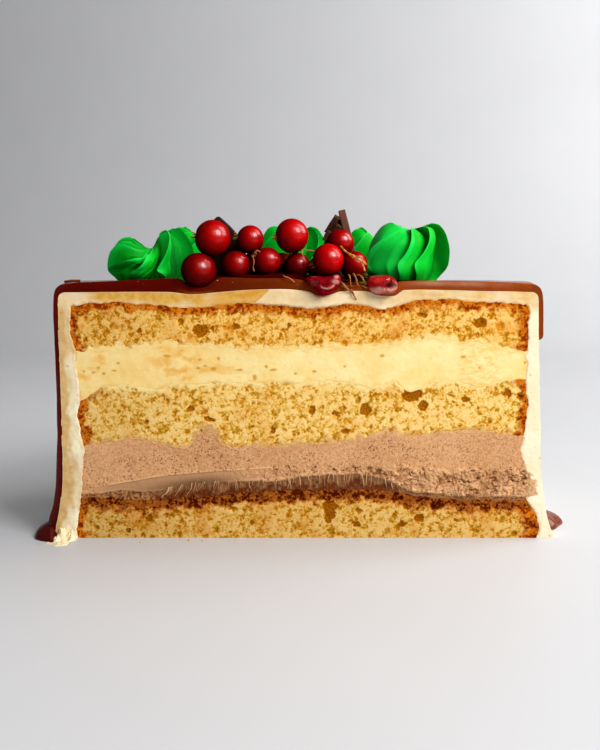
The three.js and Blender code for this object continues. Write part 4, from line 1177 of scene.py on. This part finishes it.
def glaze_hem():
    """The angles round the glaze with the height of its hem and how far in a drip each is. The hem is a
    sine, with fingers that end in a half circle."""
    edges = [at + side * half * share
             for at, half, _ in DRIPS for side in (-1, 1) for share in (0.96, 0.999, 1.03)]
    edges = np.array([turn for turn in edges if 0.2 < turn < 179.8])
    turn = np.sort(np.concatenate([np.linspace(0, 180, GLAZE_TURNS), edges]))
    hem = HEM + 1.2 * np.sin(np.radians(turn * 9))
    body = np.zeros(turn.shape)
    for at, half, tip in DRIPS:
        across = np.clip(np.abs(turn - at) / half, 0, 1)
        inside = np.abs(turn - at) <= half
        finger = tip + half * MM_PER_DEGREE * (1 - np.sqrt(1 - across**2))
        hem = np.where(inside, np.minimum(hem, finger), hem)
        body = np.where(inside, np.maximum(body, np.sqrt(1 - across**2)), body)
    return np.radians(turn)[:, None], hem[:, None], body[:, None]


def glaze_skin(turn, hem, body, outer):
    """One face of the glaze, over the top from the cut to the back, round the rim and down to its hem.
    The inner face lies on the frosting. The outer one is lifted by the glaze's thickness, as a rounded
    bead across each drip."""
    back = np.linspace(0, 1, GLAZE_ROWS)[None, :] ** 1.8
    bend = np.linspace(np.pi / 2, 0, 12)[None, 1:]
    fall = np.linspace(0, 1, 46)[None, 1:]
    x = HUB * np.cos(turn) + 0 * back
    y = 0.9 * outer * np.sin(turn) ** 0.3 * (1 - back) + HUB * np.sin(turn) * back
    edge = curve(GLAZE_CREST)(x) if outer else curve(GLAZE_FLOOR)(x)
    flat = TOP + 0.18 * lumps(x, y, 12, 81) if outer else FROSTING_TOP
    z = flat + (edge - flat) * np.exp(-y / 4.5)
    thick = outer * (GAP + GLAZE_SIDE + (GLAZE_TOP - GLAZE_SIDE) * np.sin(bend) ** 3)
    rim_z = HUB_Z + (RIM_ROUND + thick) * np.sin(bend)
    rim_z = rim_z + (z[:, -1:] - FROSTING_TOP - outer * (GAP + GLAZE_TOP)) * np.sin(bend) ** 3
    rim_r = HUB + (RIM_ROUND + thick) * np.cos(bend)
    side_z = HUB_Z + (hem - HUB_Z) * fall
    low = 1 - step(side_z, HEM - 4, HEM + 1)
    bead = 1 - low + low * (0.12 + 0.9 * body)
    tipped = np.clip((side_z - hem) / (0.9 + 0.7 * body), 0, 1)
    drop = 0.3 * body * bell((side_z - hem - 4) / 3.5) * step(turn, 0.1, 0.2)
    bead = bead * np.sqrt(1 - (1 - tipped) ** 2 * 0.97) * (1 + drop)
    swollen = 1 + 0.8 * body * step(turn, 2.95, 3.05) * (1 - step(side_z, 8, 55))
    side_r = side_radius(side_z) + spread(turn, side_z) + outer * (GAP + GLAZE_SIDE) * bead * swollen
    side_r = side_r + outer * 0.12 * lumps(turn * RADIUS, side_z, 8, 82) * step(side_z - hem, 0, 5)
    rows = [points_of(x, y, z)]
    for r, z in ((rim_r, rim_z), (side_r, side_z)):
        rows.append(points_of(r * np.cos(turn) + slump(z), r * np.sin(turn), z))
    skin = np.concatenate(rows, 1)
    skin[0, :, 1] = skin[-1, :, 1] = 0
    return skin


def glaze_face(lower, upper):
    """Glaze on the cut: straight up from its lower edge for a share of its height, then rolled back to
    its upper edge by a quarter of a sine. Gives its points and its tags."""
    t = np.linspace(0, 1, 20)[None, :, None]
    front = lower * (1 - t) + upper * t
    high = upper[..., 2] - lower[..., 2]
    up = t[..., 0] + 0 * high
    roll = np.clip((up - 0.45) / 0.55, 0, 1)
    front[..., 2] = lower[..., 2] + high * np.where(up < 0.45, up, 0.45 + 0.55 * np.sin(roll * np.pi / 2))
    front[..., 1] = upper[..., 1] * (1 - np.cos(roll * np.pi / 2))
    x, z = front[..., 0], front[..., 2]
    front[..., 1] += np.sin(np.pi * up) * (0.1 * lumps(x, z, 4, 83) + 0.05 * lumps(x, z * 2, 1.2, 84))
    front[:, -1] = upper[:, 0]
    front[0, :, 1] = front[-1, :, 1] = 0
    # Painted light: warmer from the left of the middle on to the right, and at the notch under a currant, and
    # a painted sheen along the upper part at the right.
    lip = bell((x + 31.5) / 4) * (1 - step(up, 0.1, 0.5))
    warm = np.clip(step(x, -42, 40) + 0.8 * lip, 0, 1)
    sheen = between(x, 26, 40, 54, 70) * bell((up - 0.62) / 0.2)
    return front, {"warm": warm, "sheen": sheen * np.clip(0.45 + 0.3 * lumps(x, z, 5, 85), 0, 1)}


def glaze():
    """Glaze: an outer and an inner skin, joined by its face on the cut, its two ends and its hem, and a
    small tab at the left corner."""
    turn, hem, body = glaze_hem()
    outside, inside = glaze_skin(turn, hem, body, 1), glaze_skin(turn, hem, body, 0)
    face = glaze_face(inside[:, :1], outside[:, :1])
    ends = []
    # The right end takes the same painted light as the face.
    for end, warm in ((0, 1.0), (-1, 0.0)):
        for rows, tags in ((slice(GLAZE_ROWS - 1, None), {"warm": warm}), (slice(GLAZE_ROWS), {})):
            ends.append((np.stack([outside[end, rows], inside[end, rows]], 1), tags))
    hem_edge = np.stack([outside[:, -1], inside[:, -1]], 1)
    # Painted light on the right of the outside, strongest by the cut.
    lit = 0.8 * step(outside[..., 0], -12, 60) * (0.3 + 0.7 * np.exp(-outside[..., 1] / 9))
    tab = tube(bent_path([(-71.8, 0.9, 81.3), (-69.4, 0.6, 81.6), (-67, 0.9, 81.6)], 12), 0.42, 10)
    sheets = [(outside, {"warm": lit, "gloss": 1.0}), (inside, {"warm": lit}), face,
              (hem_edge, {"warm": lit[:, -1:], "gloss": 1.0}), *ends, (tab, {"warm": 0.4})]
    piece("glaze_coat", sheets, GLAZE, ["glaze"])


def puddle(name, drip, reach, half, height):
    """A puddle that has run out from a drip: over an oval its height falls from the drip by a power of
    the distance, and it sinks away under the frosting's foot."""
    around = once_round(97)
    share = np.sin(np.linspace(0, np.pi / 2, 26))[None, :]
    uneven = 1 + 0.06 * np.sin(3 * around + drip) + 0.04 * np.sin(5 * around + 2 * drip)
    uneven[-1] = uneven[0]
    out = share * uneven
    beyond = out * reach * np.cos(around)
    turn = math.radians(DRIPS[drip][0])
    away = side_radius(0.0) + spread(turn, 0.0) + beyond
    along = out * half * np.sin(around)
    x = away * math.cos(turn) - along * math.sin(turn) + slump(0.0)
    y = away * math.sin(turn) + along * math.cos(turn)
    z = height * (1 - share**1.9) ** 0.6 * step(beyond, -2.2, 0.4)
    top, floor = mound(x, y, z, 0)
    # Painted light and a painted sheen on the puddle at the right.
    lit = 0.3 if math.cos(turn) > 0 else 0.0
    tags = {"warm": lit, "sheen": lit * 0.25, "gloss": 1.0}
    piece(name + "_dome", [(top, tags), (floor, {})], GLAZE, [name])


glaze()
for pool, sizes in PUDDLES.items():
    puddle(pool, *sizes)


def last_outline(turn, up):
    """How the last swirl departs from its section: drawn in below its shoulder at the left, spread at its
    foot in front, and stepped at the right, each by a bell curve of the angle."""
    from_left = np.remainder(turn, 2 * np.pi) - np.pi
    from_front = np.remainder(turn - math.radians(65), 2 * np.pi) - np.pi
    from_right = np.remainder(turn + np.pi, 2 * np.pi) - np.pi
    waist = between(up, 0.02, 0.25, 0.7, 0.95)
    stepped = 0.06 * bell((up - 0.72) / 0.12) - 0.07 * (1 - step(up, 0.5, 0.58))
    foot = 0.26 * (1 - step(up, 0, 0.4)) * bell(from_front / 0.75)
    return 1 + foot - 0.15 * waist * bell(from_left / 0.5) + stepped * bell(from_right / 0.6)


def swirl(number, x, y, radius, height, front, back, rise, pinch, lean, twist):
    """A piped swirl: a section carried round, cut by grooves that are a sine of a power of the way from
    fin to fin, so that each is deepest just before the next fin. It is twisted from the pinch to the
    base, and curled over at the ridges by a turn that is greatest there. Each fin has its own size and
    wave. Lobes are lower in front and behind by a square of a sine."""
    fins = FIN_COUNTS.get(number, FINS)
    angle = once_round(fins * 42 + 1)
    stations = np.arange(len(SWIRL_SECTION)) / 6
    up = np.linspace(0, stations[-1], 80)[None, :]
    r, rise_share = (curve(np.stack([stations, column], 1))(up) for column in np.array(SWIRL_SECTION).T)
    r, rise_share = np.maximum(0, r), np.clip(rise_share, 0, 1)
    r[:, -1] = 0
    place = (angle - CROWDED.get(number, 0) * np.sin(angle)) * fins / (2 * np.pi)
    way = place - np.floor(place)
    slant = FIN_SLANTS.get(number, FIN_SLANT)
    fin = np.floor(place + 1 - 0.5 ** (1 / slant)) % fins
    groove = np.abs(np.sin(np.pi * way**slant)) ** 0.75
    ridge = 1 - groove
    wave = 0.16 * np.sin(6 * up + 6.3 * draw(fin, number, 4)) + 0.12 * (draw(fin, number, 6) - 0.5)
    wave = wave * ridge**0.5
    curl = -0.34 * ridge**1.5 * step(up, 0, 0.3)
    places = np.linspace(0, 2 * np.pi, FINS, endpoint=False)
    even = np.zeros(FINS)
    low, high = FIN_SHIFTS.get(number, (even, even))
    low, high, reach = (np.interp(angle, places, row, period=2 * np.pi)
                        for row in (low, high, FIN_REACH.get(number, even)))
    fill = np.interp(angle, places + np.pi / FINS, PANELS.get(number, even), period=2 * np.pi)
    turn = angle - math.radians(twist) * (1 - up) + curl + wave + low + (high - low) * np.minimum(1, up * 1.3)
    loss = np.where(np.sin(turn) < 0, front, back) * np.sin(turn) ** 2
    lobe = 1 - loss + rise * np.cos(turn) + 0.10 * (draw(fin, number, 8) - 0.5) * ridge
    share = np.where(r < CREST, pinch + (lobe - pinch) * (r / CREST) ** 1.5, rise_share * lobe)
    size = 0.9 + 0.25 * draw(fin, number, 2)
    ripple = np.abs(np.sin(1.5 * fins * angle + 0.9 * np.sin(2.2 * up + fin))) ** 0.7 * groove
    cut = FIN_DEPTH * (1.45 * groove * size * (1 - fill) + 0.3 * ripple) * (0.4 + 0.6 * np.minimum(1, 3 * up))
    cut = cut - reach * bell((up - 0.5) / 0.34)
    bead = bell(np.minimum(way, 1 - way) / 0.05) * step(up, 0.05, 0.25)
    wobble = 1 + 0.03 * np.sin(3 * turn + number) + 0.02 * np.sin(5 * turn + 2 * number)
    wobble = wobble + 0.05 * ridge * (size - 1) + 0.035 * bead
    out = radius * r * (1 - cut) * wobble
    if number == len(SWIRLS):
        out = out * last_outline(turn, up)
    sunk = 0.2 * groove * step(up, 0.45, 0.75) * r
    z = SEAT - GAP + height * np.maximum(0, share - sunk) * (1 + 0 * angle) + GAP * np.minimum(1, up * 6)
    grid = points_of(x + out * np.cos(turn) + lean * rise_share, y + out * np.sin(turn), z)
    grid[-1] = grid[0]
    grid[:, -1] = grid[:, -1].mean(0)
    floor = np.stack([grid[:, 0], np.broadcast_to((x, y, SEAT - GAP), grid[:, 0].shape)], 1)
    # Painted shade on the side away from +X and in the grooves, painted light along the ridges and towards an
    # angle.
    side_shade = SIDE_SHADE.get(number, 0) * step(-np.cos(turn), 0, 0.8)
    amount, towards = SIDE_LIGHT.get(number, (0, 0))
    side_light = amount * step(np.cos(turn - math.radians(towards)), 0.68, 0.97)
    outwards = np.minimum(1, r * 2)
    hollow = groove**5 * (1 - fill) * outwards
    tags = {"groove": 1 - (1 - hollow) * (1 - side_shade), "ridge": 1 - (1 - bead * outwards) * (1 - side_light)}
    name = f"swirl_{number}"
    piece(name + "_piped", [(grid, tags), (floor, {})], ICING, [name])


for place, sizes in enumerate(SWIRLS, 1):
    swirl(place, *sizes)


def currant(number, x, y, z, radius, bright, tip):
    """A currant: a ball about its tip axis, a little flat, with a dimple at the tip and faint veins as a
    high power of a cosine of the angle round it."""
    around = once_round(61)
    down = np.linspace(0, np.pi, 40)[None, :]
    dimple = 1 - 0.07 * bell(down / 0.2) - 0.02 * np.cos(2 * down)
    dimple = dimple * (1 + 0.006 * np.sin(3 * around + number))
    grid = closed((ball(around, down) * (radius * dimple)[..., None]) @ frame_of(tip) + (x, y, z))
    vein = np.abs(np.cos(5 * around)) ** 14 * np.sin(down) ** 0.5
    facing = ((grid - (x, y, z)) / radius) @ SHINE_SIDE
    # Painted glow towards the lit side on top of the berry's brightness; the shade tag is painted shade away
    # from it.
    glow = np.clip(bright - 0.06 + 0.4 * step(facing, 0.72, 0.98), 0, 1)
    tags = {"bright": glow, "vein": vein, "tip": bell(down / 0.16) + 0 * around,
            "shine": step(facing, 0.84, 0.97), "shade": 1 - step(facing, -0.1, 0.95)}
    name = f"currant_{number}"
    piece(name + "_berry", [(grid, tags)], CURRANT, [name])


def juice_and_shadow():
    """Juice under the currants, nearly black as painted shadow under them: a low mound over a long oval, its
    height a power of the distance, uneven by noise."""
    around = once_round(121)
    share = np.sin(np.linspace(0, np.pi / 2, 30))[None, :]
    uneven = 1 + 0.05 * np.sin(7 * around) + 0.04 * np.sin(11 * around + 1)
    x = -7.5 + 25.5 * share * uneven * np.cos(around)
    y = 7.6 + 5 * share * uneven * np.sin(around)
    z = SEAT - 0.2 + 2.2 * (1 - share**4) * (0.85 + 0.2 * lumps(x, y, 4, 560))
    top, floor = mound(x, y, z, SEAT - 0.4)
    # Nearly black: painted shadow under the currants.
    piece("currant_juice_and_shadow", [(top, {"crease": 0.9}), (floor, {})], SKIN)


for place, sizes in enumerate(CURRANTS, 1):
    currant(place, *sizes)
juice_and_shadow()


def crushed(number, outline, middle, half):
    """A crushed currant: its outline drawn in to the middle by a sine, before and behind, with folds in
    front along arcs about a point above it, each a power of a sine of the distance."""
    path = bent_path([(x, 0, z) for x, z in [*outline, outline[0]]], 141)
    down = np.linspace(0, np.pi, 91)[None, :]
    centre = path[:-1].mean(0)
    out = np.sin(down) ** 0.8
    x = centre[0] + (path[:, 0] - centre[0])[:, None] * out
    z = centre[2] + (path[:, 2] - centre[2])[:, None] * out
    front = step(np.cos(down), -0.1, 0.5) * (1 + 0 * x)
    apart = np.hypot(x - centre[0] - 0.6, z - centre[2] - 4.2) + 0.35 * lumps(x, z, 1.7, 500 + number)
    arcs = np.abs(np.sin(np.pi * apart / 2.1)) ** 0.8

    def blob(at_x, at_z, wide, high):
        """A soft oval on the front: a bell curve of the distance squared, bent by noise."""
        bent = 0.4 * lumps(x, z, 1.3, 520 + number)
        return front * bell((((x - at_x) / wide) ** 2 + ((z - at_z) / high) ** 2) * (1 + bent))

    if number == 1:
        line = bell((np.hypot(x - 8.6, z - 82.4) - 3.1) / 0.24) * between(x, 6.4, 7.2, 10.6, 11.4)
        pulp = front * line + 0.8 * blob(11.2, 81.4, 1.1, 0.6) + 0.7 * blob(11.6, 82.9, 0.8, 0.4)
        # Painted shade in the folds.
        marks = {"pulp": 0.8 * pulp, "crease": 0.8 * (1 - arcs) ** 3 * front}
        dent = 0.28 * arcs
    else:
        hollow = blob(27.7, 80.2, 1.8, 1.1)
        rim = blob(27.6, 80, 2.5, 1.8) * (1 - hollow) * step(x - z, -53.6, -51.4)
        # Painted shade in the hollow and a painted glow over the front, brightest at its upper left.
        marks = {"pulp": 0.9 * rim + 0.95 * blob(24, 78.7, 2.1, 1.1), "crease": 0.9 * hollow,
                 "glow": np.maximum(0.2 * front, 0.9 * blob(24.1, 81.7, 1.2, 0.9)),
                 "amber": 0.9 * blob(28.4, 78, 2.2, 0.9)}
        dent = 0.12 * arcs - 1.4 * hollow + 0.15 * rim
    dent = front * (dent + 0.15 * lumps(x, z, 1.6, 540 + number)) * np.sin(down) ** 0.3
    grid = points_of(x, middle - half * np.cos(down) - dent, z)
    grid[-1] = grid[0]
    grid[:, 0] = grid[:-1, 0].mean(0)
    grid[:, -1] = grid[0, -1]
    tags = {mark: np.clip(share, 0, 1) for mark, share in marks.items()}
    tags["wet"] = step(z, 79.4, 82) * step(lumps(x, z, 1.4, 550), -0.1, 0.6)
    name = f"crushed_currant_{number}"
    piece(name + "_skin", [(grid, tags)], SKIN, [name])


for place, sizes in enumerate(CRUSHED, 1):
    crushed(place, *sizes)


def stalk():
    """The stalk with its knots: a tube whose radius swells at two nodes, with a short fork and a spur."""
    line = [(13.2, 5.6, 92.2), (14.6, 3.2, 90.6), (16.8, 1.7, 89.1), (19, 1.6, 87.8), (21.1, 1.4, 86.5)]
    main = bent_path(line, 40)
    s = np.linspace(0, 1, 40)
    radius = 0.34 + 0.28 * bell((s - 0.5) / 0.06) + 0.28 * bell((s - 0.86) / 0.07)
    radius = radius + 0.06 * np.sin(37 * s)
    fork = bent_path([main[30], (20, 1.2, 85.9), (20.4, 1.1, 84.6)], 14)
    spur = bent_path([main[20], (18.3, 1.1, 88.9), (18.9, 0.9, 89)], 10)
    sheets = [(tube(main, radius), {}), (tube(fork, 0.32), {}), (tube(spur, 0.25), {})]
    piece("currant_stalk_twig", sheets, STALK, ["currant_stalk"])


def dried_tips():
    """Dried flower tips: six thin curled spikes round the tip of each currant."""
    sheets = []
    for number, (x, y, z, radius, _, tip) in enumerate(CURRANTS, 1):
        axes = frame_of(tip)
        for spike in range(6):
            turn = spike * 1.05 + number
            lean = 0.25 + 0.35 * draw(spike, number, 3)
            length = 0.9 + 0.8 * draw(spike, number, 7)
            out = np.array([math.cos(turn), math.sin(turn), 0])
            low = 0.25 * out + (0, 0, radius * 0.92)
            high = low + length * (lean * out + (0, 0, 1))
            bow = (low + high) / 2 + 0.3 * out
            path = bent_path([low, bow, high], 6) @ axes + (x, y, z)
            sheets.append((tube(path, np.linspace(0.22, 0.1, 6), 6), {"dry": 0.75}))
    piece("currant_tips", sheets, STALK)


def small_stalks():
    """Thin stalk ends between the currants and torn fibres by the crushed ones: tubes along short bent
    paths."""
    sheets = [(tube(bent_path(path, 14), 0.15, 7), {"pale": 0.2, "dry": 0.35}) for path in STALK_ENDS]
    s = np.linspace(0, 1, 18)
    for number, path in enumerate(FIBRES):
        thick = (0.38 - 0.2 * s) * (0.7 + 0.5 * draw(number, 77)) * (1 + 0.2 * np.sin(11 * s + number))
        sheets.append((tube(bent_path(path, 18), thick, 9), {"dry": 0.25 + 0.4 * draw(number, 78)}))
    piece("currant_fibres", sheets, STALK)


stalk()
dried_tips()
small_stalks()


def squared(turn, power):
    """A circle drawn out towards a square: cosine and sine with their sizes raised to a power."""
    both = np.stack([np.cos(turn), np.sin(turn)])
    return np.sign(both) * np.abs(both) ** power


def rounded_bar(low, high, width, depth):
    """A bar with eased edges: a rectangle with rounded corners carried from one point to another, its
    ends drawn in over the last stations."""
    low, high = np.array(low, float), np.array(high, float)
    length = np.linalg.norm(high - low)
    along = (high - low) / length
    across = np.cross(along, (0, 1, 0))
    across = across / np.linalg.norm(across)
    deep = np.cross(across, along)
    u, v = squared(np.linspace(0, 2 * np.pi, 41), BAR_CORNER)
    s = np.array([0, 0, 0.012, 0.15, 0.3, 0.5, 0.7, 0.85, 0.988, 1, 1])
    tight = np.array([0, 0.93, 1, 1, 1, 1, 1, 1, 1, 0.93, 0])
    wave = tight * (1 + 0.04 * np.sin(9 * s + low[0]))
    ring = (u * width / 2)[:, None] * across + (v * depth / 2)[:, None] * deep
    grid = low + (s * length)[:, None, None] * along + ring[None] * wave[:, None, None]
    grid[:, -1] = grid[:, 0]
    return grid


def slab(outline_x, outline_z, front, back):
    """A plate with rounded edges: a closed outline in the x-z plane drawn in towards its middle at both
    faces."""
    middle_x, middle_z = outline_x[:-1].mean(), outline_z[:-1].mean()
    inset = np.array([1, 0.16, 0.05, 0, 0, 0.05, 0.16, 1])
    deep = np.array([front, front, front + 0.15, front + 0.4, back - 0.4, back - 0.15, back, back])
    x = outline_x[:, None] + (middle_x - outline_x)[:, None] * inset
    z = outline_z[:, None] + (middle_z - outline_z)[:, None] * inset
    grid = points_of(x, deep[None, :], z)
    grid[-1] = grid[0]
    return grid


def filled(corners, count):
    """A closed outline with even points along each straight edge between corners."""
    corners = np.array([*corners, corners[0]], float)
    s = np.linspace(0, len(corners) - 1, count * (len(corners) - 1) + 1)
    at = np.arange(len(corners))
    return np.interp(s, at, corners[:, 0]), np.interp(s, at, corners[:, 1])


def ribbed_chocolate():
    """The ribbed piece: a long bar, five short slats with ends made paler by painted light, a stub and a
    plate behind them.
    """
    # Painted light on the bar, a little on the slats and most on their ends.
    sheets = [(rounded_bar((20, 19.8, CHOCOLATE_FOOT), (14.2, 19.8, 104.6), 2.3, 2.6), {"lit": 0.55})]
    for i in range(5):
        end = np.array([12.9 + 0.62 * i, 19.3, 102.6 - 2.75 * i])
        sheets.append((rounded_bar(end + (-3.4, 2.2, -5.2), end, 2.1, 1.5), {"lit": 0.1}))
        tip = end + (0.1, -0.1, -0.1)
        sheets.append((rounded_bar(tip + (-0.3, 0.2, -0.5), tip, 2.0, 1.4), {"lit": 0.6}))
    sheets.append((rounded_bar((8.8, 20.4, 94.6), (10.6, 20.2, 97.8), 2.4, 2), {}))
    plate = filled([(13.4, 103), (20, CHOCOLATE_FOOT), (5, CHOCOLATE_FOOT), (9.2, 96.6)], 12)
    sheets.append((slab(*plate, 20.6, 22), {}))
    piece("chocolate_shard_ribs", sheets, CHOCOLATE, ["chocolate_shard"])


def thin_chocolate():
    """The thin piece: an upright plate with a round top, a rounded section between its two edges."""
    rows = np.linspace(0, 1, 40)
    z = CHOCOLATE_FOOT + (102.2 - SEAT + 0.2) * rows
    left = curve([(0, -31), (0.68, -30), (0.9, -28.6), (1, -26.4)])(rows)
    right = curve([(0, -17.6), (0.5, -17.2), (0.66, -18.8), (0.85, -22), (1, -25.4)])(rows)
    flat, deep = squared(np.linspace(0, 2 * np.pi, 41), 0.5)
    x = ((left + right) / 2)[:, None] + ((right - left) / 2)[:, None] * flat[None]
    y = 16.35 + 0.65 * deep[None] + 0.25 * np.sin(3 * rows)[:, None]
    grid = points_of(x, y, z[:, None] + 0 * flat[None])
    grid[:, -1] = grid[:, 0]
    caps = [(np.stack([ring, np.broadcast_to(ring[:-1].mean(0), ring.shape)], 1), {})
            for ring in (grid[0], grid[-1])]
    # Painted shadow: nearly black, less so near the top.
    dark = 0.95 - 0.45 * step(grid[..., 2], 95, 101)
    piece("chocolate_curl_thin", [(grid, {"deep": dark}), *caps], CHOCOLATE, ["chocolate_curl"])


ribbed_chocolate()
thin_chocolate()


def strings():
    """Pulled strings of mousse over the ganache: thin tubes that start at the mousse and hang down,
    slanting to the left at the left end and nearly upright further right, unevenly spaced."""
    floor = curve(MOUSSE_FLOOR)
    under = curve(GANACHE_FLOOR)
    sheets = []
    for i in range(58):
        x = -44 + 1.42 * i + 3.4 * (draw(i, 901) - 0.5)
        slant = -2.4 * (1 - step(x, -40, -16)) + 1.6 * (draw(i, 902) - 0.45)
        high = floor(x) + 0.4
        low = under(x) + 0.3
        drop = (high - low) * (0.3 + 0.75 * draw(i, 903))
        bow = 0.9 * (draw(i, 904) - 0.5)
        path = bent_path([(x, 0.0, high), (x + slant * 0.35 + bow, 0.05, high - 0.45 * drop),
                          (x + slant, 0.5, high - drop)], 12)
        thick = 0.04 + 0.12 * draw(i, 905) ** 3
        sheets.append((tube(path, np.linspace(thick * 1.6, thick * 0.6, 12), 6), {"pale": 0.5}))
    piece("mousse_strings", sheets, MOUSSE)


def crumbs():
    """Loose crumbs: small lumpy balls on the floor by the cut."""
    sheets = []
    around = once_round(10)
    down = np.linspace(0, np.pi, 6)[None, :]
    for i in range(7):
        size = 0.12 + 0.25 * draw(i, 951) ** 2
        x = -72 + 146 * draw(i, 952)
        y = -0.6 - 4 * draw(i, 953)
        lumpy = 1 + 0.25 * np.sin(3 * around + i) * np.sin(2 * down)
        grid = closed(ball(around, down) * lumpy[..., None] * size * (1.2, 1, 0.8) + (x, y, size * 0.6))
        sheets.append((grid, {"crust": 0.5 * draw(i, 954)}))
    piece("loose_crumbs", sheets, SPONGE)


def foot_smear():
    """Frosting pushed forward at the left foot: a mound over an oval, torn into flakes by noise."""
    around = once_round(91)
    share = np.linspace(0, 1, 40)[None, :]
    uneven = 1 + 0.12 * np.sin(4 * around) + 0.08 * np.sin(7 * around + 1)
    x = -75 + 3.9 * share * uneven * np.cos(around)
    y = -2.4 + 5.2 * share * uneven * np.sin(around)
    back = step(y, -4, 1.5)
    flakes = np.clip(0.6 + 0.7 * lumps(x, y, 1.7, 961, 4), 0.1, 1.3)
    top, floor = mound(x, y, (0.7 + 4.2 * back) * (1 - share**2) ** 0.6 * flakes, 0)
    # A little of the left strip's colour: a buttery tone and painted shade.
    tags = {"pale": 0.4 * flakes, "butter": 0.35}
    piece("frosting_smear", [(top, tags), (floor, {})], FROSTING)


strings()
crumbs()
foot_smear()


def floor_sweep():
    """A pale floor that runs back and turns up in a quarter circle to a wall: a profile carried along x,
    in metres."""
    flat = np.linspace(FLOOR_FRONT, FLOOR_BACK, 20)
    bend = np.linspace(0, np.pi / 2, 24)[1:]
    tall = np.linspace(WALL_BEND, WALL_TOP, 12)[1:]
    wall = np.full(len(tall), FLOOR_BACK + WALL_BEND)
    y = np.concatenate([flat, FLOOR_BACK + WALL_BEND * np.sin(bend), wall])
    z = np.concatenate([0 * flat, WALL_BEND * (1 - np.cos(bend)), tall])
    x = np.linspace(-FLOOR_HALF, FLOOR_HALF, 30)
    grid = points_of(x[:, None], y[None], z[None])
    mesh = bpy.data.meshes.new("floor_sweep")
    mesh.from_pydata(grid.reshape(-1, 3).tolist(), [], quads(*grid.shape[:2]).tolist())
    mesh.shade_smooth()
    r = Recipe("pale_floor", Specular_IOR_Level=0.3)
    pale = r.mix(r.noise(60, 2), (0.53, 0.53, 0.54), (0.56, 0.56, 0.57))
    mesh.materials.append(r.set(Base_Color=pale, Roughness=0.5))
    sweep = bpy.data.objects.new("floor_sweep", mesh)
    bpy.context.scene.collection.objects.link(sweep)


def soft_light(name, place, target, size, power):
    """A square soft light that looks at a target, in metres and watts."""
    lamp = bpy.data.lights.new(name, "AREA")
    lamp.shape = "SQUARE"
    lamp.size = size
    lamp.energy = power
    lamp_object = bpy.data.objects.new(name, lamp)
    away = np.array(place) - np.array(target)
    flat = math.hypot(away[0], away[1])
    lamp_object.location = place
    lamp_object.rotation_euler = (math.atan2(flat, away[2]), 0, math.atan2(away[0], -away[1]))
    bpy.context.scene.collection.objects.link(lamp_object)


def studio():
    """Soft studio light, strongest from the upper right, and the camera in front of the cut."""
    for name, settings in LIGHTS.items():
        soft_light(name, *settings)
    scene = bpy.context.scene
    world = bpy.data.worlds.new("studio")
    world.use_nodes = True
    background = next(n for n in world.node_tree.nodes if n.type == "BACKGROUND")
    background.inputs["Color"].default_value = SKY_TINT
    background.inputs["Strength"].default_value = SKY_STRENGTH
    scene.world = world
    lens = bpy.data.cameras.new("camera")
    lens.lens = LENS
    lens.sensor_width = SENSOR
    camera = bpy.data.objects.new("camera", lens)
    camera.location = CAMERA_PLACE
    camera.rotation_euler = (math.radians(90 - CAMERA_PITCH), 0, 0)
    scene.collection.objects.link(camera)
    scene.camera = camera
    scene.view_settings.view_transform = "Standard"
    scene.view_settings.look = "None"


floor_sweep()
studio()
